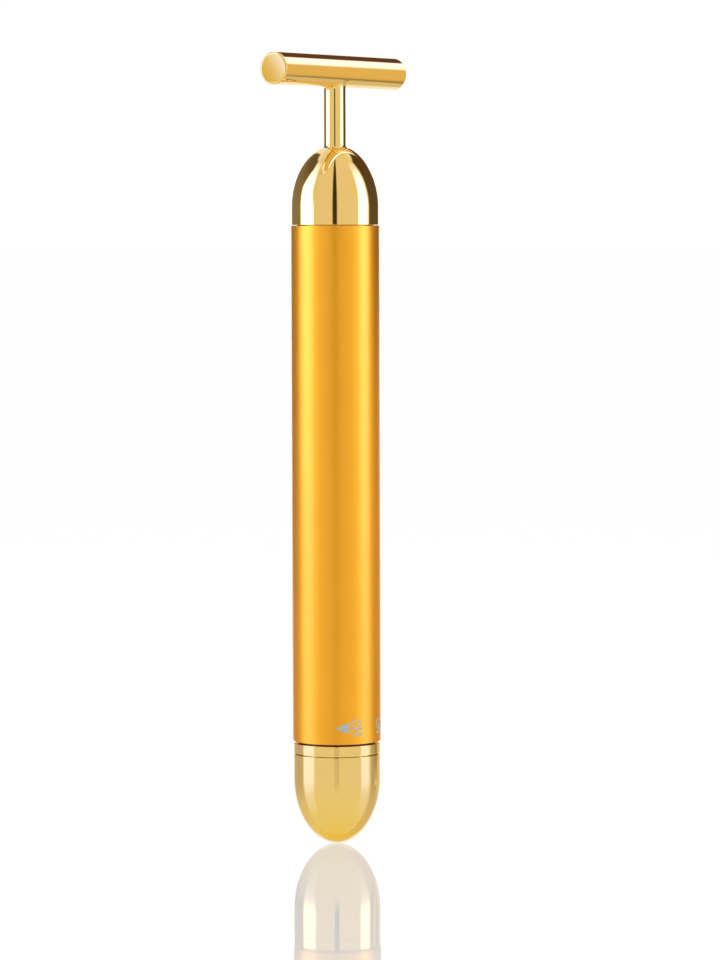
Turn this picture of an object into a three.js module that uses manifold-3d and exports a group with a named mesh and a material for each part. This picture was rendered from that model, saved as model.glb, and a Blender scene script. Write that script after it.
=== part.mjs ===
// A vibrating T-bar facial massager, as it comes apart on a bench.
// Millimetres, +Z up along the handle, T bar along X, switch marks on the side that faces -Y.
// Heights are measured up from the tip of the end cap. The last lines move the origin
// to the middle of the grip, on the handle's axis.
import * as THREE from "three";
import { mergeVertices } from "three/addons/utils/BufferGeometryUtils.js";
import Module from "manifold-3d";

// Power cell, an AA size
const cellDiameter = 14.2;
const cellLength = 50.5;
const cellNubDiameter = 5.4;
const cellNubHeight = 1.2;
const cellSleeveWall = 0.16;
const cellPlateDiameter = 10.6;
const cellPlateThickness = 0.5;
const cellCrimpWall = 0.5;
const cellCrimpLift = 0.15; // crimped rim above the negative plate's face
const cellEdge = 0.6; // rounding of the can's shoulder
const cellSleeveGap = 0.03;

// Handle tube
const cellClearance = 0.4;
const tubeWall = 1.0;
const tubeLength = 99.68;
const tubeChamfer = 0.15;

// Clearances that more than one seat uses
const pressGap = 0.1;
const slideGap = 0.2;
const turnGap = 0.05; // between a turning or pressed-in round piece and its seat
const faceStep = 0.075; // head and cap are this much smaller in radius than the tube
const overcut = 1; // how far a cutter runs past the face that it opens

// Head dome
const domeSeam = 0.12;
const domeStraight = 3.45;
const domeRise = 11.95;
const domeEdge = 0.1;
const domeSeatRadius = 3.0;
const domeRoofThickness = 3.5;
const domeRoofRadius = 3.9;
const spigotLength = 5.0;
const spigotWall = 1.5;
const spigotGrooveHeight = 2.4; // middle of the O-ring groove above the spigot's end

// T head: bar, neck and stud in one brazed piece
const barDiameter = 6.2;
const barLength = 40.0;
const barEdgeRadius = 0.4;
const neckDiameter = 4.2;
const neckHeight = 14.86; // dome seat to bar centre line
const neckFootRadius = 0.75;
const saddleRadius = 0.65;
const studDiameter = 3.0;
const studLength = 7.1;

// Nut and washer that hold the T head
const nutAcrossFlats = 5.5;
const nutHeight = 2.4;
const washerDiameter = 6.6;
const washerThickness = 0.5;

// O-rings
const ringWire = 0.9;
const ringStandOff = 0.05; // ring above its groove's floor
const ringGrooveDepth = 1.0;
const ringGrooveWidth = 1.2;

// Turning end cap, which is the switch
const threadPitch = 1.0;
const threadTurns = 6;
const onTurn = 60; // degrees from OFF to ON
const seamLeftWhenOn = 0.18;
const capCurve = 12.8;
const capShellHeight = 17.6;
const capWall = 0.9;
const capTipWall = 1.1;
const capGroove = 0.15;
const capGrooveChamfer = 0.1;
const capLipInset = 0.3; // from the collar's face in to the lip that stands on the cap's rim
const collarHeight = 2.0;
const ringInset = 0.25; // O-ring groove above the tube's lower end
const ringShoulder = 0.35;

// Screw plug inside the cap
const plugWall = 1.8;
const plugFloor = 1.4;
const plugRibThickness = 0.8;
const plugTopChamfer = 0.4;
const springSeatDrop = 0.65; // well floor below the collar's top
const plugToCell = 0.6;

// Contacts at the cap end
const plateThickness = 0.3;
const plateRim = 0.3; // plate is this much smaller in radius than its well
const strapWidth = 2.0;
const strapThickness = 0.3;
const springWire = 0.6;
const springTurns = 6;
const springFootRadius = 4.3;
const springHeadRadius = 2.7;
const springGap = 0.3; // left between spring and cell

// Contact carrier above the cell
const contactGap = 0.2;
const contactDimple = 1.0;
const contactDimpleRadius = 1.2;
const contactDimpleSlope = 0.7;
const contactFlangeRadius = 4.0;
const contactThickness = 0.4;
const rivetDiameter = 1.6;
const rivetRise = 0.6;
const carrierThickness = 3.0;
const carrierBossHeight = 0.8;
const carrierBossRadius = 2.3;
const carrierBossDraft = 0.3;
const guardInnerRadius = 4.5;
const guardOuterRadius = 5.4;
const guardHeight = 1.2;

// Motor cage
const cageRib = 0.3;
const cageRibCount = 8;
const cageRibWidth = 1.0;
const cageRibInset = 0.02; // ribs stay this far inside the rims
const cagePocketGap = 0.15;
const cageSkirtWall = 1.0;
const cageRimHeight = 1.6;
const cageLedge = 1.5;
const cageLedgeHole = 4.9;
const cageWindowWidth = 5.0;
const cageWindowMargin = 2.4;
const fingerWidth = 3.6;
const fingerSlot = 0.6;
const fingerHook = 0.7;
const fingerHookHeight = 1.1;
const fingerLength = 9.0;

// Earth clip that presses on the tube's bore, and its window in the cage
const clipWidth = 2.4;
const clipThickness = 0.25;
const clipHeight = 6.2;
const clipLegHeight = 3.0;
const clipLegInset = 0.45; // from the cage's skirt in to the middle of the leg
const clipBowHeight = 3.6;
const clipBulge = 0.35; // how far the bow stands out from the foot
const clipLift = 0.3; // foot above the window's sill
const clipWindowMargin = 0.5; // window wider than the clip, each side
const clipWindowHeadroom = 1.1; // window above the clip

// Motor with two flats
const motorDiameter = 12.0;
const motorFlats = 10.0;
const canLength = 15.0;
const canWall = 0.5;
const noseDiameter = 4.0;
const noseHeight = 1.0;
const noseLip = 0.3;
const bellHeight = 2.0;
const bellSpigot = 1.0;
const bellFloor = 0.5;
const bearingDiameter = 3.2;
const bearingSeatDepth = 0.8; // front bearing below the can's face
const bearingInset = 0.1; // rear bearing below its spigot's face
const shaftDiameter = 1.5;
const shaftEndPlay = 0.15; // shaft above the bell's floor
const shaftOverhang = 0.4; // shaft above the weight
const magnetThickness = 1.5;
const magnetLength = 10.0;
const magnetSpan = 80; // degrees
const magnetStart = 3.2;
const airGap = 0.3;
const poleCount = 3;
const poleArmWidth = 1.3;
const poleShoeThickness = 0.65;
const poleShoeSpan = 84; // degrees
const armatureLength = 9.0;
const armatureHubWall = 0.85;
const coilThickness = 0.55;
const coilOverhang = 0.5;
const commutatorDiameter = 2.6;
const commutatorLength = 1.5;
const commutatorLift = 0.5; // above the bell's spigot
const brushThickness = 0.2;
const brushWidth = 1.0;
const brushGap = 0.15;
const brushTailX = 4.0;
const brushTailDrop = 1.4;
const leadDiameter = 0.9;
const leadStub = 0.9; // straight run at each end of a lead
const solderGap = 0.3; // between a lead's end and its terminal

// Eccentric weight
const weightLength = 6.5;
const weightClearance = 0.8;
const weightLift = 1.0;
const weightHubDiameter = 4.0;

// Roundness of the turned pieces
const sidesLarge = 36;
const sidesMedium = 28;
const sidesSmall = 16;

// Sizes that follow from those above
const tubeBoreRadius = cellDiameter / 2 + cellClearance;
const tubeRadius = tubeBoreRadius + tubeWall;
const faceRadius = tubeRadius - faceStep;
const seamGap = (threadPitch * onTurn) / 360 + seamLeftWhenOn;
const collarBottom = capShellHeight + capGroove;
const collarTop = collarBottom + collarHeight;
const tubeBottom = collarTop + seamGap;
const tubeTop = tubeBottom + tubeLength;
const headBottom = tubeTop + domeSeam;
const plugRadius = tubeBoreRadius - slideGap;
const plugWell = plugRadius - plugWall;
const capRingMiddle = tubeBottom + ringInset + ringGrooveWidth / 2;
const plugTop = capRingMiddle + ringGrooveWidth / 2 + ringShoulder + threadPitch * threadTurns;
const wellFloor = collarTop - springSeatDrop;
const cellBottom = plugTop + plugToCell;
const cellTop = cellBottom + cellLength;
const carrierBottom = cellTop + contactGap + contactDimple + contactThickness;
const cageHeight = headBottom - spigotLength - slideGap - carrierBottom - carrierThickness;
const motorTop = carrierThickness + cageHeight - fingerHookHeight - pressGap;
const motorBottom = motorTop - canLength;
const ledgeTop = motorBottom - bellHeight - pressGap;
const commutatorBottom = bellSpigot + commutatorLift;
const brushFace = commutatorDiameter / 2 + brushGap;
const cageRadius = tubeBoreRadius - slideGap;
const skirtBore = cageRadius - cageRib - cageSkirtWall;
const clipSill = carrierThickness + cageRimHeight;
const clipBottom = clipSill + clipLift;
const clipLeg = skirtBore - clipLegInset;
const clipBow = tubeBoreRadius - pressGap - clipThickness / 2;
const spigotRadius = tubeBoreRadius - pressGap;
const domeBore = spigotRadius - spigotWall;
const weightRadius = domeBore - weightClearance;
const gripMiddle = tubeBottom + tubeLength / 2;

const wasm = await Module();
wasm.setup();

// Finishes
function finish(color, roughness, metalness) {
  return new THREE.MeshStandardMaterial({ color, roughness, metalness });
}
const polishedGold = finish(0xe8c878, 0.12, 1.0);
const satinGold = finish(0xd9982f, 0.35, 1.0);
const steel = finish(0xb9bcc0, 0.35, 1.0);
const brass = finish(0xc9a24a, 0.35, 1.0);
const copper = finish(0xb5652f, 0.4, 1.0);
const ferrite = finish(0x2b2b2e, 0.7, 0.2);
const blackRubber = finish(0x1c1c1d, 0.8, 0.0);
const whiteNylon = finish(0xe9e6dc, 0.5, 0.0);
const blackPlastic = finish(0x26272a, 0.5, 0.0);
const sleeveFilm = finish(0x3c4148, 0.4, 0.0);
const redWire = finish(0xb3262a, 0.5, 0.0);
const blackWire = finish(0x222224, 0.5, 0.0);

// Points [radius, height] on an ellipse about (r0, z0), from one angle to another in degrees
function arc(r0, z0, rr, rz, from, to, steps) {
  return Array.from({ length: steps + 1 }, (_, i) => {
    const a = THREE.MathUtils.degToRad(from + ((to - from) * i) / steps);
    return [r0 + rr * Math.cos(a), z0 + rz * Math.sin(a)];
  });
}

// A body turned about +Z. The outline runs out along the bottom, up the outside and back in.
function turned(outline, sides) {
  const points = outline.map(([r, z]) => new THREE.Vector2(r, z));
  return new THREE.LatheGeometry(points, sides).rotateX(Math.PI / 2);
}

// A ring turned about +Z, its outline closed on itself
function turnedRing(outline, sides) {
  return turned([...outline, outline[0]], sides);
}

// A plain ring or bush
function bush(inner, outer, bottom, top, sides) {
  return turnedRing([[inner, bottom], [outer, bottom], [outer, top], [inner, top]], sides);
}

// A plain disc or pin
function pin(radius, bottom, top, sides) {
  return turned([[0, bottom], [radius, bottom], [radius, top], [0, top]], sides);
}

// A block given by its lowest and highest corners
function block(x0, y0, z0, x1, y1, z1) {
  const box = new THREE.BoxGeometry(x1 - x0, y1 - y0, z1 - z0);
  return box.translate((x0 + x1) / 2, (y0 + y1) / 2, (z0 + z1) / 2);
}

// A flat shape raised along +Z from one height to another
function raised(shape, bottom, top, curveSegments = 10) {
  const options = { depth: top - bottom, bevelEnabled: false, curveSegments };
  return new THREE.ExtrudeGeometry(shape, options).translate(0, 0, bottom);
}

// A round wire along a curve, with closed ends
function wire(curve, diameter, sides, steps) {
  const section = new THREE.Shape();
  for (let i = 0; i < sides; i++) {
    const a = (2 * Math.PI * i) / sides;
    const x = (diameter / 2) * Math.cos(a);
    const y = (diameter / 2) * Math.sin(a);
    if (i === 0) section.moveTo(x, y);
    else section.lineTo(x, y);
  }
  return new THREE.ExtrudeGeometry(section, { steps, extrudePath: curve, bevelEnabled: false });
}

// A closed geometry as a solid that can be cut and joined
function solid(geometry) {
  const bare = geometry.clone();
  bare.deleteAttribute("normal");
  bare.deleteAttribute("uv");
  const merged = mergeVertices(bare, 1e-4);
  const vertProperties = merged.attributes.position.array;
  const triVerts = new Uint32Array(merged.index.array);
  return new wasm.Manifold(new wasm.Mesh({ numProp: 3, vertProperties, triVerts }));
}

// A solid back as a geometry
function geometryOf(body) {
  const mesh = body.getMesh();
  const geometry = new THREE.BufferGeometry();
  geometry.setAttribute("position", new THREE.BufferAttribute(mesh.vertProperties, 3));
  geometry.setIndex(new THREE.BufferAttribute(mesh.triVerts, 1));
  geometry.computeVertexNormals();
  return geometry;
}

// One named piece in its group
function addPiece(group, name, geometry, material) {
  const mesh = new THREE.Mesh(geometry, material);
  mesh.name = name;
  group.add(mesh);
  return mesh;
}

// A sub-assembly whose own zero is at a height in its parent
function subAssembly(parent, height) {
  const group = new THREE.Group();
  group.position.z = height;
  parent.add(group);
  return group;
}

// An O-ring seated in a groove of the given floor radius
function oRing(grooveFloor, middle) {
  const radius = grooveFloor + ringStandOff + ringWire / 2;
  return new THREE.TorusGeometry(radius, ringWire / 2, 6, sidesMedium).translate(0, 0, middle);
}

// The outline of an O-ring groove in a turned outside, from below to above
function grooveSteps(radius, middle) {
  const floor = radius - ringGrooveDepth;
  const low = middle - ringGrooveWidth / 2;
  const high = middle + ringGrooveWidth / 2;
  return [[radius, low], [floor, low], [floor, high], [radius, high]];
}

// Handle tube: thin wall, chamfered at both ends inside and out
function bodyTube() {
  const inner = tubeBoreRadius + tubeChamfer;
  const outer = tubeRadius - tubeChamfer;
  return turnedRing([
    [inner, 0],
    [outer, 0],
    [tubeRadius, tubeChamfer],
    [tubeRadius, tubeLength - tubeChamfer],
    [outer, tubeLength],
    [inner, tubeLength],
    [tubeBoreRadius, tubeLength - tubeChamfer],
    [tubeBoreRadius, tubeChamfer],
  ], sidesLarge);
}

// Head dome: spigot, shoulder, straight wall and a half ellipse up to the neck's seat.
// Its height zero is the shoulder that meets the tube.
const domeSeatHeight = domeStraight + domeRise * Math.sqrt(1 - (domeSeatRadius / faceRadius) ** 2);
const domeRoof = domeSeatHeight - domeRoofThickness;
const spigotRing = spigotGrooveHeight - spigotLength;
function headDome() {
  const seatAngle = THREE.MathUtils.radToDeg(Math.acos(domeSeatRadius / faceRadius));
  const hole = studDiameter / 2 + pressGap;
  const rise = domeRoof - domeStraight;
  return turnedRing([
    [domeBore, -spigotLength],
    [spigotRadius - domeEdge, -spigotLength],
    [spigotRadius, domeEdge - spigotLength],
    ...grooveSteps(spigotRadius, spigotRing),
    [spigotRadius, 0],
    [faceRadius - domeEdge, 0],
    [faceRadius, domeEdge],
    ...arc(0, domeStraight, faceRadius, domeRise, 0, seatAngle, 10),
    [hole, domeSeatHeight],
    [hole, domeRoof],
    ...arc(domeRoofRadius, domeStraight, domeBore - domeRoofRadius, rise, 90, 0, 4),
  ], sidesLarge);
}

// The blend of neck into bar. At each angle about the neck its section is a curve that leaves
// the neck upwards and lands on the bar's round underside, so its height follows the saddle.
function saddle(barMiddle) {
  const neck = neckDiameter / 2;
  const bar = barDiameter / 2;
  const sunk = 0.05; // both ends start this far inside the metal
  const steps = 5;
  const underside = (r, a) => barMiddle - Math.sqrt(bar ** 2 - (r * Math.sin(a)) ** 2);
  const section = (a) => {
    const start = new THREE.Vector2(neck - sunk, underside(neck, a) - saddleRadius);
    const corner = new THREE.Vector2(neck - sunk, underside(neck, a) + sunk);
    const end = new THREE.Vector2(neck + saddleRadius, underside(neck + saddleRadius, a) + sunk);
    const blend = new THREE.QuadraticBezierCurve(start, corner, end).getPoints(steps);
    const inside = [new THREE.Vector2(end.x, barMiddle), new THREE.Vector2(neck / 2, barMiddle)];
    return [...blend, ...inside, new THREE.Vector2(neck / 2, start.y)];
  };
  const sections = Array.from({ length: sidesMedium }, (_, i) => section((2 * Math.PI * i) / sidesMedium));
  const around = sections.length;
  const along = sections[0].length;
  const place = (i, j) => (i % around) * along + (j % along);
  const position = sections.flatMap((points, i) => {
    const a = (2 * Math.PI * i) / around;
    return points.flatMap((p) => [p.x * Math.cos(a), p.x * Math.sin(a), p.y]);
  });
  const index = [];
  for (let i = 0; i < around; i++) {
    for (let j = 0; j < along; j++) {
      index.push(place(i, j), place(i + 1, j), place(i, j + 1));
      index.push(place(i + 1, j + 1), place(i, j + 1), place(i + 1, j));
    }
  }
  const geometry = new THREE.BufferGeometry();
  geometry.setAttribute("position", new THREE.Float32BufferAttribute(position, 3));
  geometry.setIndex(index);
  return geometry;
}

// T head: a round bar with softened ends, and below it a neck with a flared foot and a stud
function tHead() {
  const bar = barDiameter / 2;
  const neck = neckDiameter / 2;
  const half = barLength / 2;
  const flat = bar - barEdgeRadius;
  const middle = domeSeatHeight + neckHeight;
  const rod = turned([
    [0, -half],
    ...arc(flat, barEdgeRadius - half, barEdgeRadius, barEdgeRadius, -90, 0, 5),
    ...arc(flat, half - barEdgeRadius, barEdgeRadius, barEdgeRadius, 0, 90, 5),
    [0, half],
  ], sidesMedium).rotateY(Math.PI / 2).translate(0, 0, middle);
  const foot = neck + neckFootRadius;
  const footTop = domeSeatHeight + neckFootRadius;
  const stem = turned([
    [0, domeSeatHeight - studLength],
    [studDiameter / 2, domeSeatHeight - studLength],
    [studDiameter / 2, domeSeatHeight],
    ...arc(foot, footTop, neckFootRadius, neckFootRadius, 270, 180, 4),
    [neck, middle],
    [0, middle],
  ], sidesMedium);
  return geometryOf(solid(rod).add(solid(stem)).add(solid(saddle(middle))));
}

// Hexagon nut on the stud, under its washer
function domeNut() {
  const corner = nutAcrossFlats / Math.sqrt(3);
  const hexagon = new THREE.Shape();
  for (let i = 0; i < 6; i++) {
    const a = (Math.PI / 3) * i;
    if (i === 0) hexagon.moveTo(corner, 0);
    else hexagon.lineTo(corner * Math.cos(a), corner * Math.sin(a));
  }
  const hole = new THREE.Path().absarc(0, 0, studDiameter / 2 + pressGap, 0, 2 * Math.PI, true);
  hexagon.holes.push(hole);
  const top = domeRoof - washerThickness;
  return raised(hexagon, top - nutHeight, top, sidesSmall);
}

// End cap shell: a cup with a half-ellipse bottom, the same inside at its wall's thickness
function endCap() {
  const inner = faceRadius - capWall;
  const open = capShellHeight;
  return turned([
    ...arc(0, capCurve, faceRadius, capCurve, -90, 0, 10),
    [faceRadius, open - capGrooveChamfer],
    [faceRadius - capGrooveChamfer, open],
    [inner, open],
    ...arc(0, capCurve, inner, capCurve - capTipWall, 0, -90, 7),
  ], sidesLarge);
}

// Polished collar between cap and tube. It touches the tube's end when the cap is turned to ON.
function capCollar() {
  const inner = plugRadius + pressGap;
  const lip = faceRadius - capLipInset;
  const lipBottom = capShellHeight + turnGap;
  return turnedRing([
    [inner, lipBottom],
    [lip, lipBottom],
    [lip, collarBottom],
    [faceRadius - capGrooveChamfer, collarBottom],
    [faceRadius, collarBottom + capGrooveChamfer],
    [faceRadius, collarTop - capGrooveChamfer],
    [faceRadius - capGrooveChamfer, collarTop],
    [inner, collarTop],
  ], sidesLarge);
}

// Screw plug: moulded, hollow from both sides of its floor, with crossed ribs below
function capPlug() {
  const seat = faceRadius - capWall - pressGap;
  const bottom = capCurve + pressGap;
  const lowerWell = plugWell + pressGap;
  const body = turned([
    [0, bottom],
    [seat, bottom],
    [seat, capShellHeight],
    [plugRadius, capShellHeight],
    ...grooveSteps(plugRadius, capRingMiddle),
    [plugRadius, plugTop - plugTopChamfer],
    [plugRadius - plugTopChamfer, plugTop],
    [plugWell, plugTop],
    [plugWell, wellFloor],
    [0, wellFloor],
  ], sidesLarge);
  const hollow = solid(pin(lowerWell, bottom - overcut, wellFloor - plugFloor, sidesMedium));
  const half = plugRibThickness / 2;
  const rib = block(-lowerWell, -half, bottom, lowerWell, half, wellFloor - plugFloor + half);
  const ribs = solid(rib).add(solid(rib.clone().rotateZ(Math.PI / 2)));
  const slotHalf = strapWidth / 2 + pressGap;
  const slotDepth = strapThickness + 2 * pressGap;
  const slot = solid(block(0, -slotHalf, wellFloor - slotDepth, faceRadius, slotHalf, wellFloor));
  return geometryOf(solid(body).subtract(hollow).add(ribs).subtract(slot));
}

// Brass strap in the plug's floor, from under the spring's plate out to the collar
function contactStrap() {
  const low = wellFloor - strapThickness - pressGap;
  const high = wellFloor - pressGap;
  return block(pressGap, -strapWidth / 2, low, plugRadius + pressGap / 2, strapWidth / 2, high);
}

// Conical contact spring. Turns, radii and height give the helix, and a short straight
// run in line with the coil finishes each end.
function contactSpring() {
  const bottom = wellFloor + plateThickness + pressGap + springWire / 2;
  const top = cellBottom - springGap - springWire / 2;
  const stepsPerTurn = 8;
  const at = (t) => {
    const a = 2 * Math.PI * springTurns * t;
    const r = springFootRadius + (springHeadRadius - springFootRadius) * t;
    return new THREE.Vector3(r * Math.cos(a), r * Math.sin(a), bottom + (top - bottom) * t);
  };
  const turnsOn = springTurns * stepsPerTurn;
  const helix = Array.from({ length: turnsOn + 1 }, (_, i) => at(i / turnsOn));
  const tail = (end, next) => {
    const along = end.clone().sub(next).setZ(0).normalize().multiplyScalar(springWire);
    return end.clone().add(along);
  };
  const points = [tail(helix[0], helix[1]), ...helix, tail(helix[turnsOn], helix[turnsOn - 1])];
  printLeastGap(points, springWire, stepsPerTurn);
  return wire(new THREE.CatmullRomCurve3(points), springWire, 5, points.length - 1);
}

// Prints the least gap between turns of a wound wire, from its points half a turn or more apart
function printLeastGap(points, diameter, stepsPerTurn) {
  let least = Infinity;
  points.forEach((p, i) => {
    points.slice(i + stepsPerTurn / 2).forEach((q) => {
      least = Math.min(least, p.distanceTo(q) - diameter);
    });
  });
  console.log("contact spring: least gap to itself " + least.toFixed(2) + " mm");
}

// Power cell: can with its positive nub, sleeve, seal ring and negative plate
function addCell(parent) {
  const cell = subAssembly(parent, cellBottom);
  const can = cellDiameter / 2 - cellSleeveWall - cellSleeveGap;
  const shoulder = cellLength - cellNubHeight;
  const nub = cellNubDiameter / 2;
  const nubEdge = cellEdge / 2;
  const crimp = can - cellCrimpWall;
  const plate = cellPlateDiameter / 2;
  addPiece(cell, "cell_can", turned([
    [0, cellPlateThickness + pressGap],
    [crimp, cellPlateThickness + pressGap],
    [crimp, cellCrimpLift],
    [can, cellCrimpLift],
    [can, shoulder - cellEdge],
    [can - cellEdge, shoulder],
    [nub + nubEdge, shoulder],
    [nub, shoulder + nubEdge],
    [nub, cellLength - nubEdge],
    [nub - nubEdge, cellLength],
    [0, cellLength],
  ], sidesLarge), steel);
  const sleeveTop = shoulder - cellEdge;
  const sleeve = bush(can + cellSleeveGap, cellDiameter / 2, cellCrimpLift, sleeveTop, sidesLarge);
  addPiece(cell, "cell_sleeve", sleeve, sleeveFilm);
  const seal = bush(plate + pressGap, crimp - pressGap, pressGap, cellPlateThickness, sidesMedium);
  addPiece(cell, "cell_seal", seal, blackPlastic);
  addPiece(cell, "cell_negative_plate", pin(plate, 0, cellPlateThickness, sidesMedium), steel);
}

// The motor's cross-section: a circle with two flats, shrunk or grown by an allowance
function motorSection(allowance) {
  const radius = motorDiameter / 2 + allowance;
  const flat = motorFlats / 2 + allowance;
  const a = Math.asin(flat / radius);
  const shape = new THREE.Shape();
  shape.absarc(0, 0, radius, -a, a, false);
  shape.absarc(0, 0, radius, Math.PI - a, Math.PI + a, false);
  return shape;
}

// Can: drawn cup with two flats, open behind, its nose holding the front bearing
function motorCan() {
  const bearing = bearingDiameter / 2 + turnGap;
  const shaft = shaftDiameter / 2 + slideGap;
  const top = canLength + noseHeight;
  const nose = solid(pin(noseDiameter / 2, canLength - canWall, top, sidesSmall));
  const inside = solid(raised(motorSection(-canWall), -overcut, canLength - canWall));
  const seat = solid(pin(bearing, canLength - canWall - overcut, top - noseLip, sidesSmall));
  const mouth = solid(pin(shaft, canLength, top + overcut, sidesSmall));
  const shell = solid(raised(motorSection(0), 0, canLength)).add(nose);
  return geometryOf(shell.subtract(inside).subtract(seat).subtract(mouth));
}

// End bell: plate and spigot with a bearing seat and a slot for each brush terminal
function motorEndBell() {
  const plate = solid(raised(motorSection(0), -bellHeight, 0));
  const spigot = solid(raised(motorSection(-canWall - pressGap), -pressGap, bellSpigot));
  const bearing = bearingDiameter / 2 + turnGap;
  const top = bellSpigot + overcut;
  const seat = solid(pin(bearing, bellFloor - bellHeight, top, sidesSmall));
  let bell = plate.add(spigot).subtract(seat);
  const halfWidth = brushWidth / 2 + pressGap;
  const left = brushTailX - halfWidth;
  const right = brushTailX + halfWidth;
  const inner = brushFace - pressGap;
  const outer = brushFace + brushThickness + pressGap;
  for (const [y0, y1] of [[inner, outer], [-outer, -inner]]) {
    bell = bell.subtract(solid(block(left, y0, -bellHeight - overcut, right, y1, top)));
  }
  return geometryOf(bell);
}

// Brush: a flat spring strip along one side of the commutator, turned down into a terminal
function brush(side) {
  const low = commutatorBottom + (commutatorLength - brushWidth) / 2;
  const high = low + brushWidth;
  const right = brushTailX + brushWidth / 2;
  const left = brushTailX - brushWidth / 2;
  const strip = new THREE.Shape();
  strip.moveTo(-commutatorDiameter / 2, low);
  strip.lineTo(left, low);
  strip.lineTo(left, -bellHeight - brushTailDrop);
  strip.lineTo(right, -bellHeight - brushTailDrop);
  strip.lineTo(right, high);
  strip.lineTo(-commutatorDiameter / 2, high);
  const flat = raised(strip, 0, brushThickness).rotateX(Math.PI / 2);
  return flat.translate(0, side > 0 ? brushFace + brushThickness : -brushFace, 0);
}

// One arc magnet on the +X side of the can
function magnet() {
  const outer = motorDiameter / 2 - canWall - pressGap;
  const inner = outer - magnetThickness;
  const half = THREE.MathUtils.degToRad(magnetSpan / 2);
  const shape = new THREE.Shape();
  shape.absarc(0, 0, outer, -half, half, false);
  shape.absarc(0, 0, inner, half, -half, true);
  return raised(shape, magnetStart, magnetStart + magnetLength);
}

const armatureRadius = motorDiameter / 2 - canWall - pressGap - magnetThickness - airGap;
const armatureStart = magnetStart + (magnetLength - armatureLength) / 2;
const shaftHole = shaftDiameter / 2 + turnGap;
const hubRadius = shaftDiameter / 2 + armatureHubWall;

// Armature: laminated hub with three arms, each ending in a wide pole shoe
function armatureCore() {
  const top = armatureStart + armatureLength;
  const shoe = new THREE.Shape();
  const half = THREE.MathUtils.degToRad(poleShoeSpan / 2);
  shoe.absarc(0, 0, armatureRadius, -half, half, false);
  shoe.absarc(0, 0, armatureRadius - poleShoeThickness, half, -half, true);
  const shoeSolid = solid(raised(shoe, armatureStart, top, 5));
  const reach = armatureRadius - poleShoeThickness / 2;
  const arm = solid(block(0, -poleArmWidth / 2, armatureStart, reach, poleArmWidth / 2, top));
  let core = solid(pin(hubRadius, armatureStart, top, sidesSmall));
  for (let i = 0; i < poleCount; i++) {
    core = core.add(arm.add(shoeSolid).rotate([0, 0, (360 / poleCount) * i]));
  }
  return geometryOf(core.subtract(solid(pin(shaftHole, 0, canLength, sidesSmall))));
}

// One coil, a closed block wound round the arm on the +X side
function armatureCoil() {
  const half = poleArmWidth / 2 + pressGap;
  const round = coilThickness + half;
  const inner = hubRadius + pressGap;
  const outer = Math.sqrt((armatureRadius - poleShoeThickness) ** 2 - round ** 2) - pressGap;
  const low = armatureStart - pressGap;
  const high = armatureStart + armatureLength + pressGap;
  const full = solid(block(inner, -round, low - coilOverhang, outer, round, high + coilOverhang));
  const hole = solid(block(inner - overcut, -half, low, outer + overcut, half, high));
  return geometryOf(full.subtract(hole));
}

// Eccentric weight: a half disc with its hub on the shaft
function eccentricWeight(bottom) {
  const shape = new THREE.Shape();
  const hub = weightHubDiameter / 2;
  shape.moveTo(weightRadius, 0);
  shape.absarc(0, 0, weightRadius, 0, Math.PI, false);
  shape.lineTo(-hub, 0);
  shape.absarc(0, 0, hub, Math.PI, 2 * Math.PI, false);
  shape.holes.push(new THREE.Path().absarc(0, 0, shaftHole, 0, 2 * Math.PI, true));
  return raised(shape, bottom, bottom + weightLength);
}

// Motor: still parts, then the rotor with the weight on its shaft
function addMotor(parent) {
  const motor = subAssembly(parent, motorBottom);
  addPiece(motor, "motor_can", motorCan(), steel);
  addPiece(motor, "motor_end_bell", motorEndBell(), whiteNylon);
  const bearing = bearingDiameter / 2;
  const frontTop = canLength + noseHeight - noseLip - turnGap;
  const frontBearing = bush(shaftHole, bearing, canLength - bearingSeatDepth, frontTop, sidesSmall);
  addPiece(motor, "motor_front_bearing", frontBearing, brass);
  const rearBottom = bellFloor - bellHeight + turnGap;
  const rearBearing = bush(shaftHole, bearing, rearBottom, bellSpigot - bearingInset, sidesSmall);
  addPiece(motor, "motor_rear_bearing", rearBearing, brass);
  addPiece(motor, "brush_positive", brush(1), copper);
  addPiece(motor, "brush_negative", brush(-1), copper);
  addPiece(motor, "magnet_right", magnet(), ferrite);
  addPiece(motor, "magnet_left", magnet(), ferrite).rotation.z = Math.PI;

  const rotor = subAssembly(motor, 0);
  const weightBottom = canLength + noseHeight + weightLift;
  const shaftTop = weightBottom + weightLength + shaftOverhang;
  const shaftBottom = bellFloor - bellHeight + shaftEndPlay;
  addPiece(rotor, "motor_shaft", pin(shaftDiameter / 2, shaftBottom, shaftTop, sidesSmall), steel);
  const commutatorTop = commutatorBottom + commutatorLength;
  const commutator = bush(shaftHole, commutatorDiameter / 2, commutatorBottom, commutatorTop, sidesSmall);
  addPiece(rotor, "commutator", commutator, copper);
  addPiece(rotor, "armature_core", armatureCore(), steel);
  for (let i = 0; i < poleCount; i++) {
    const coil = addPiece(rotor, "armature_coil_" + (i + 1), armatureCoil(), copper);
    coil.rotation.z = ((2 * Math.PI) / poleCount) * i;
  }
  addPiece(rotor, "eccentric_weight", eccentricWeight(weightBottom), steel);
}

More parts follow.
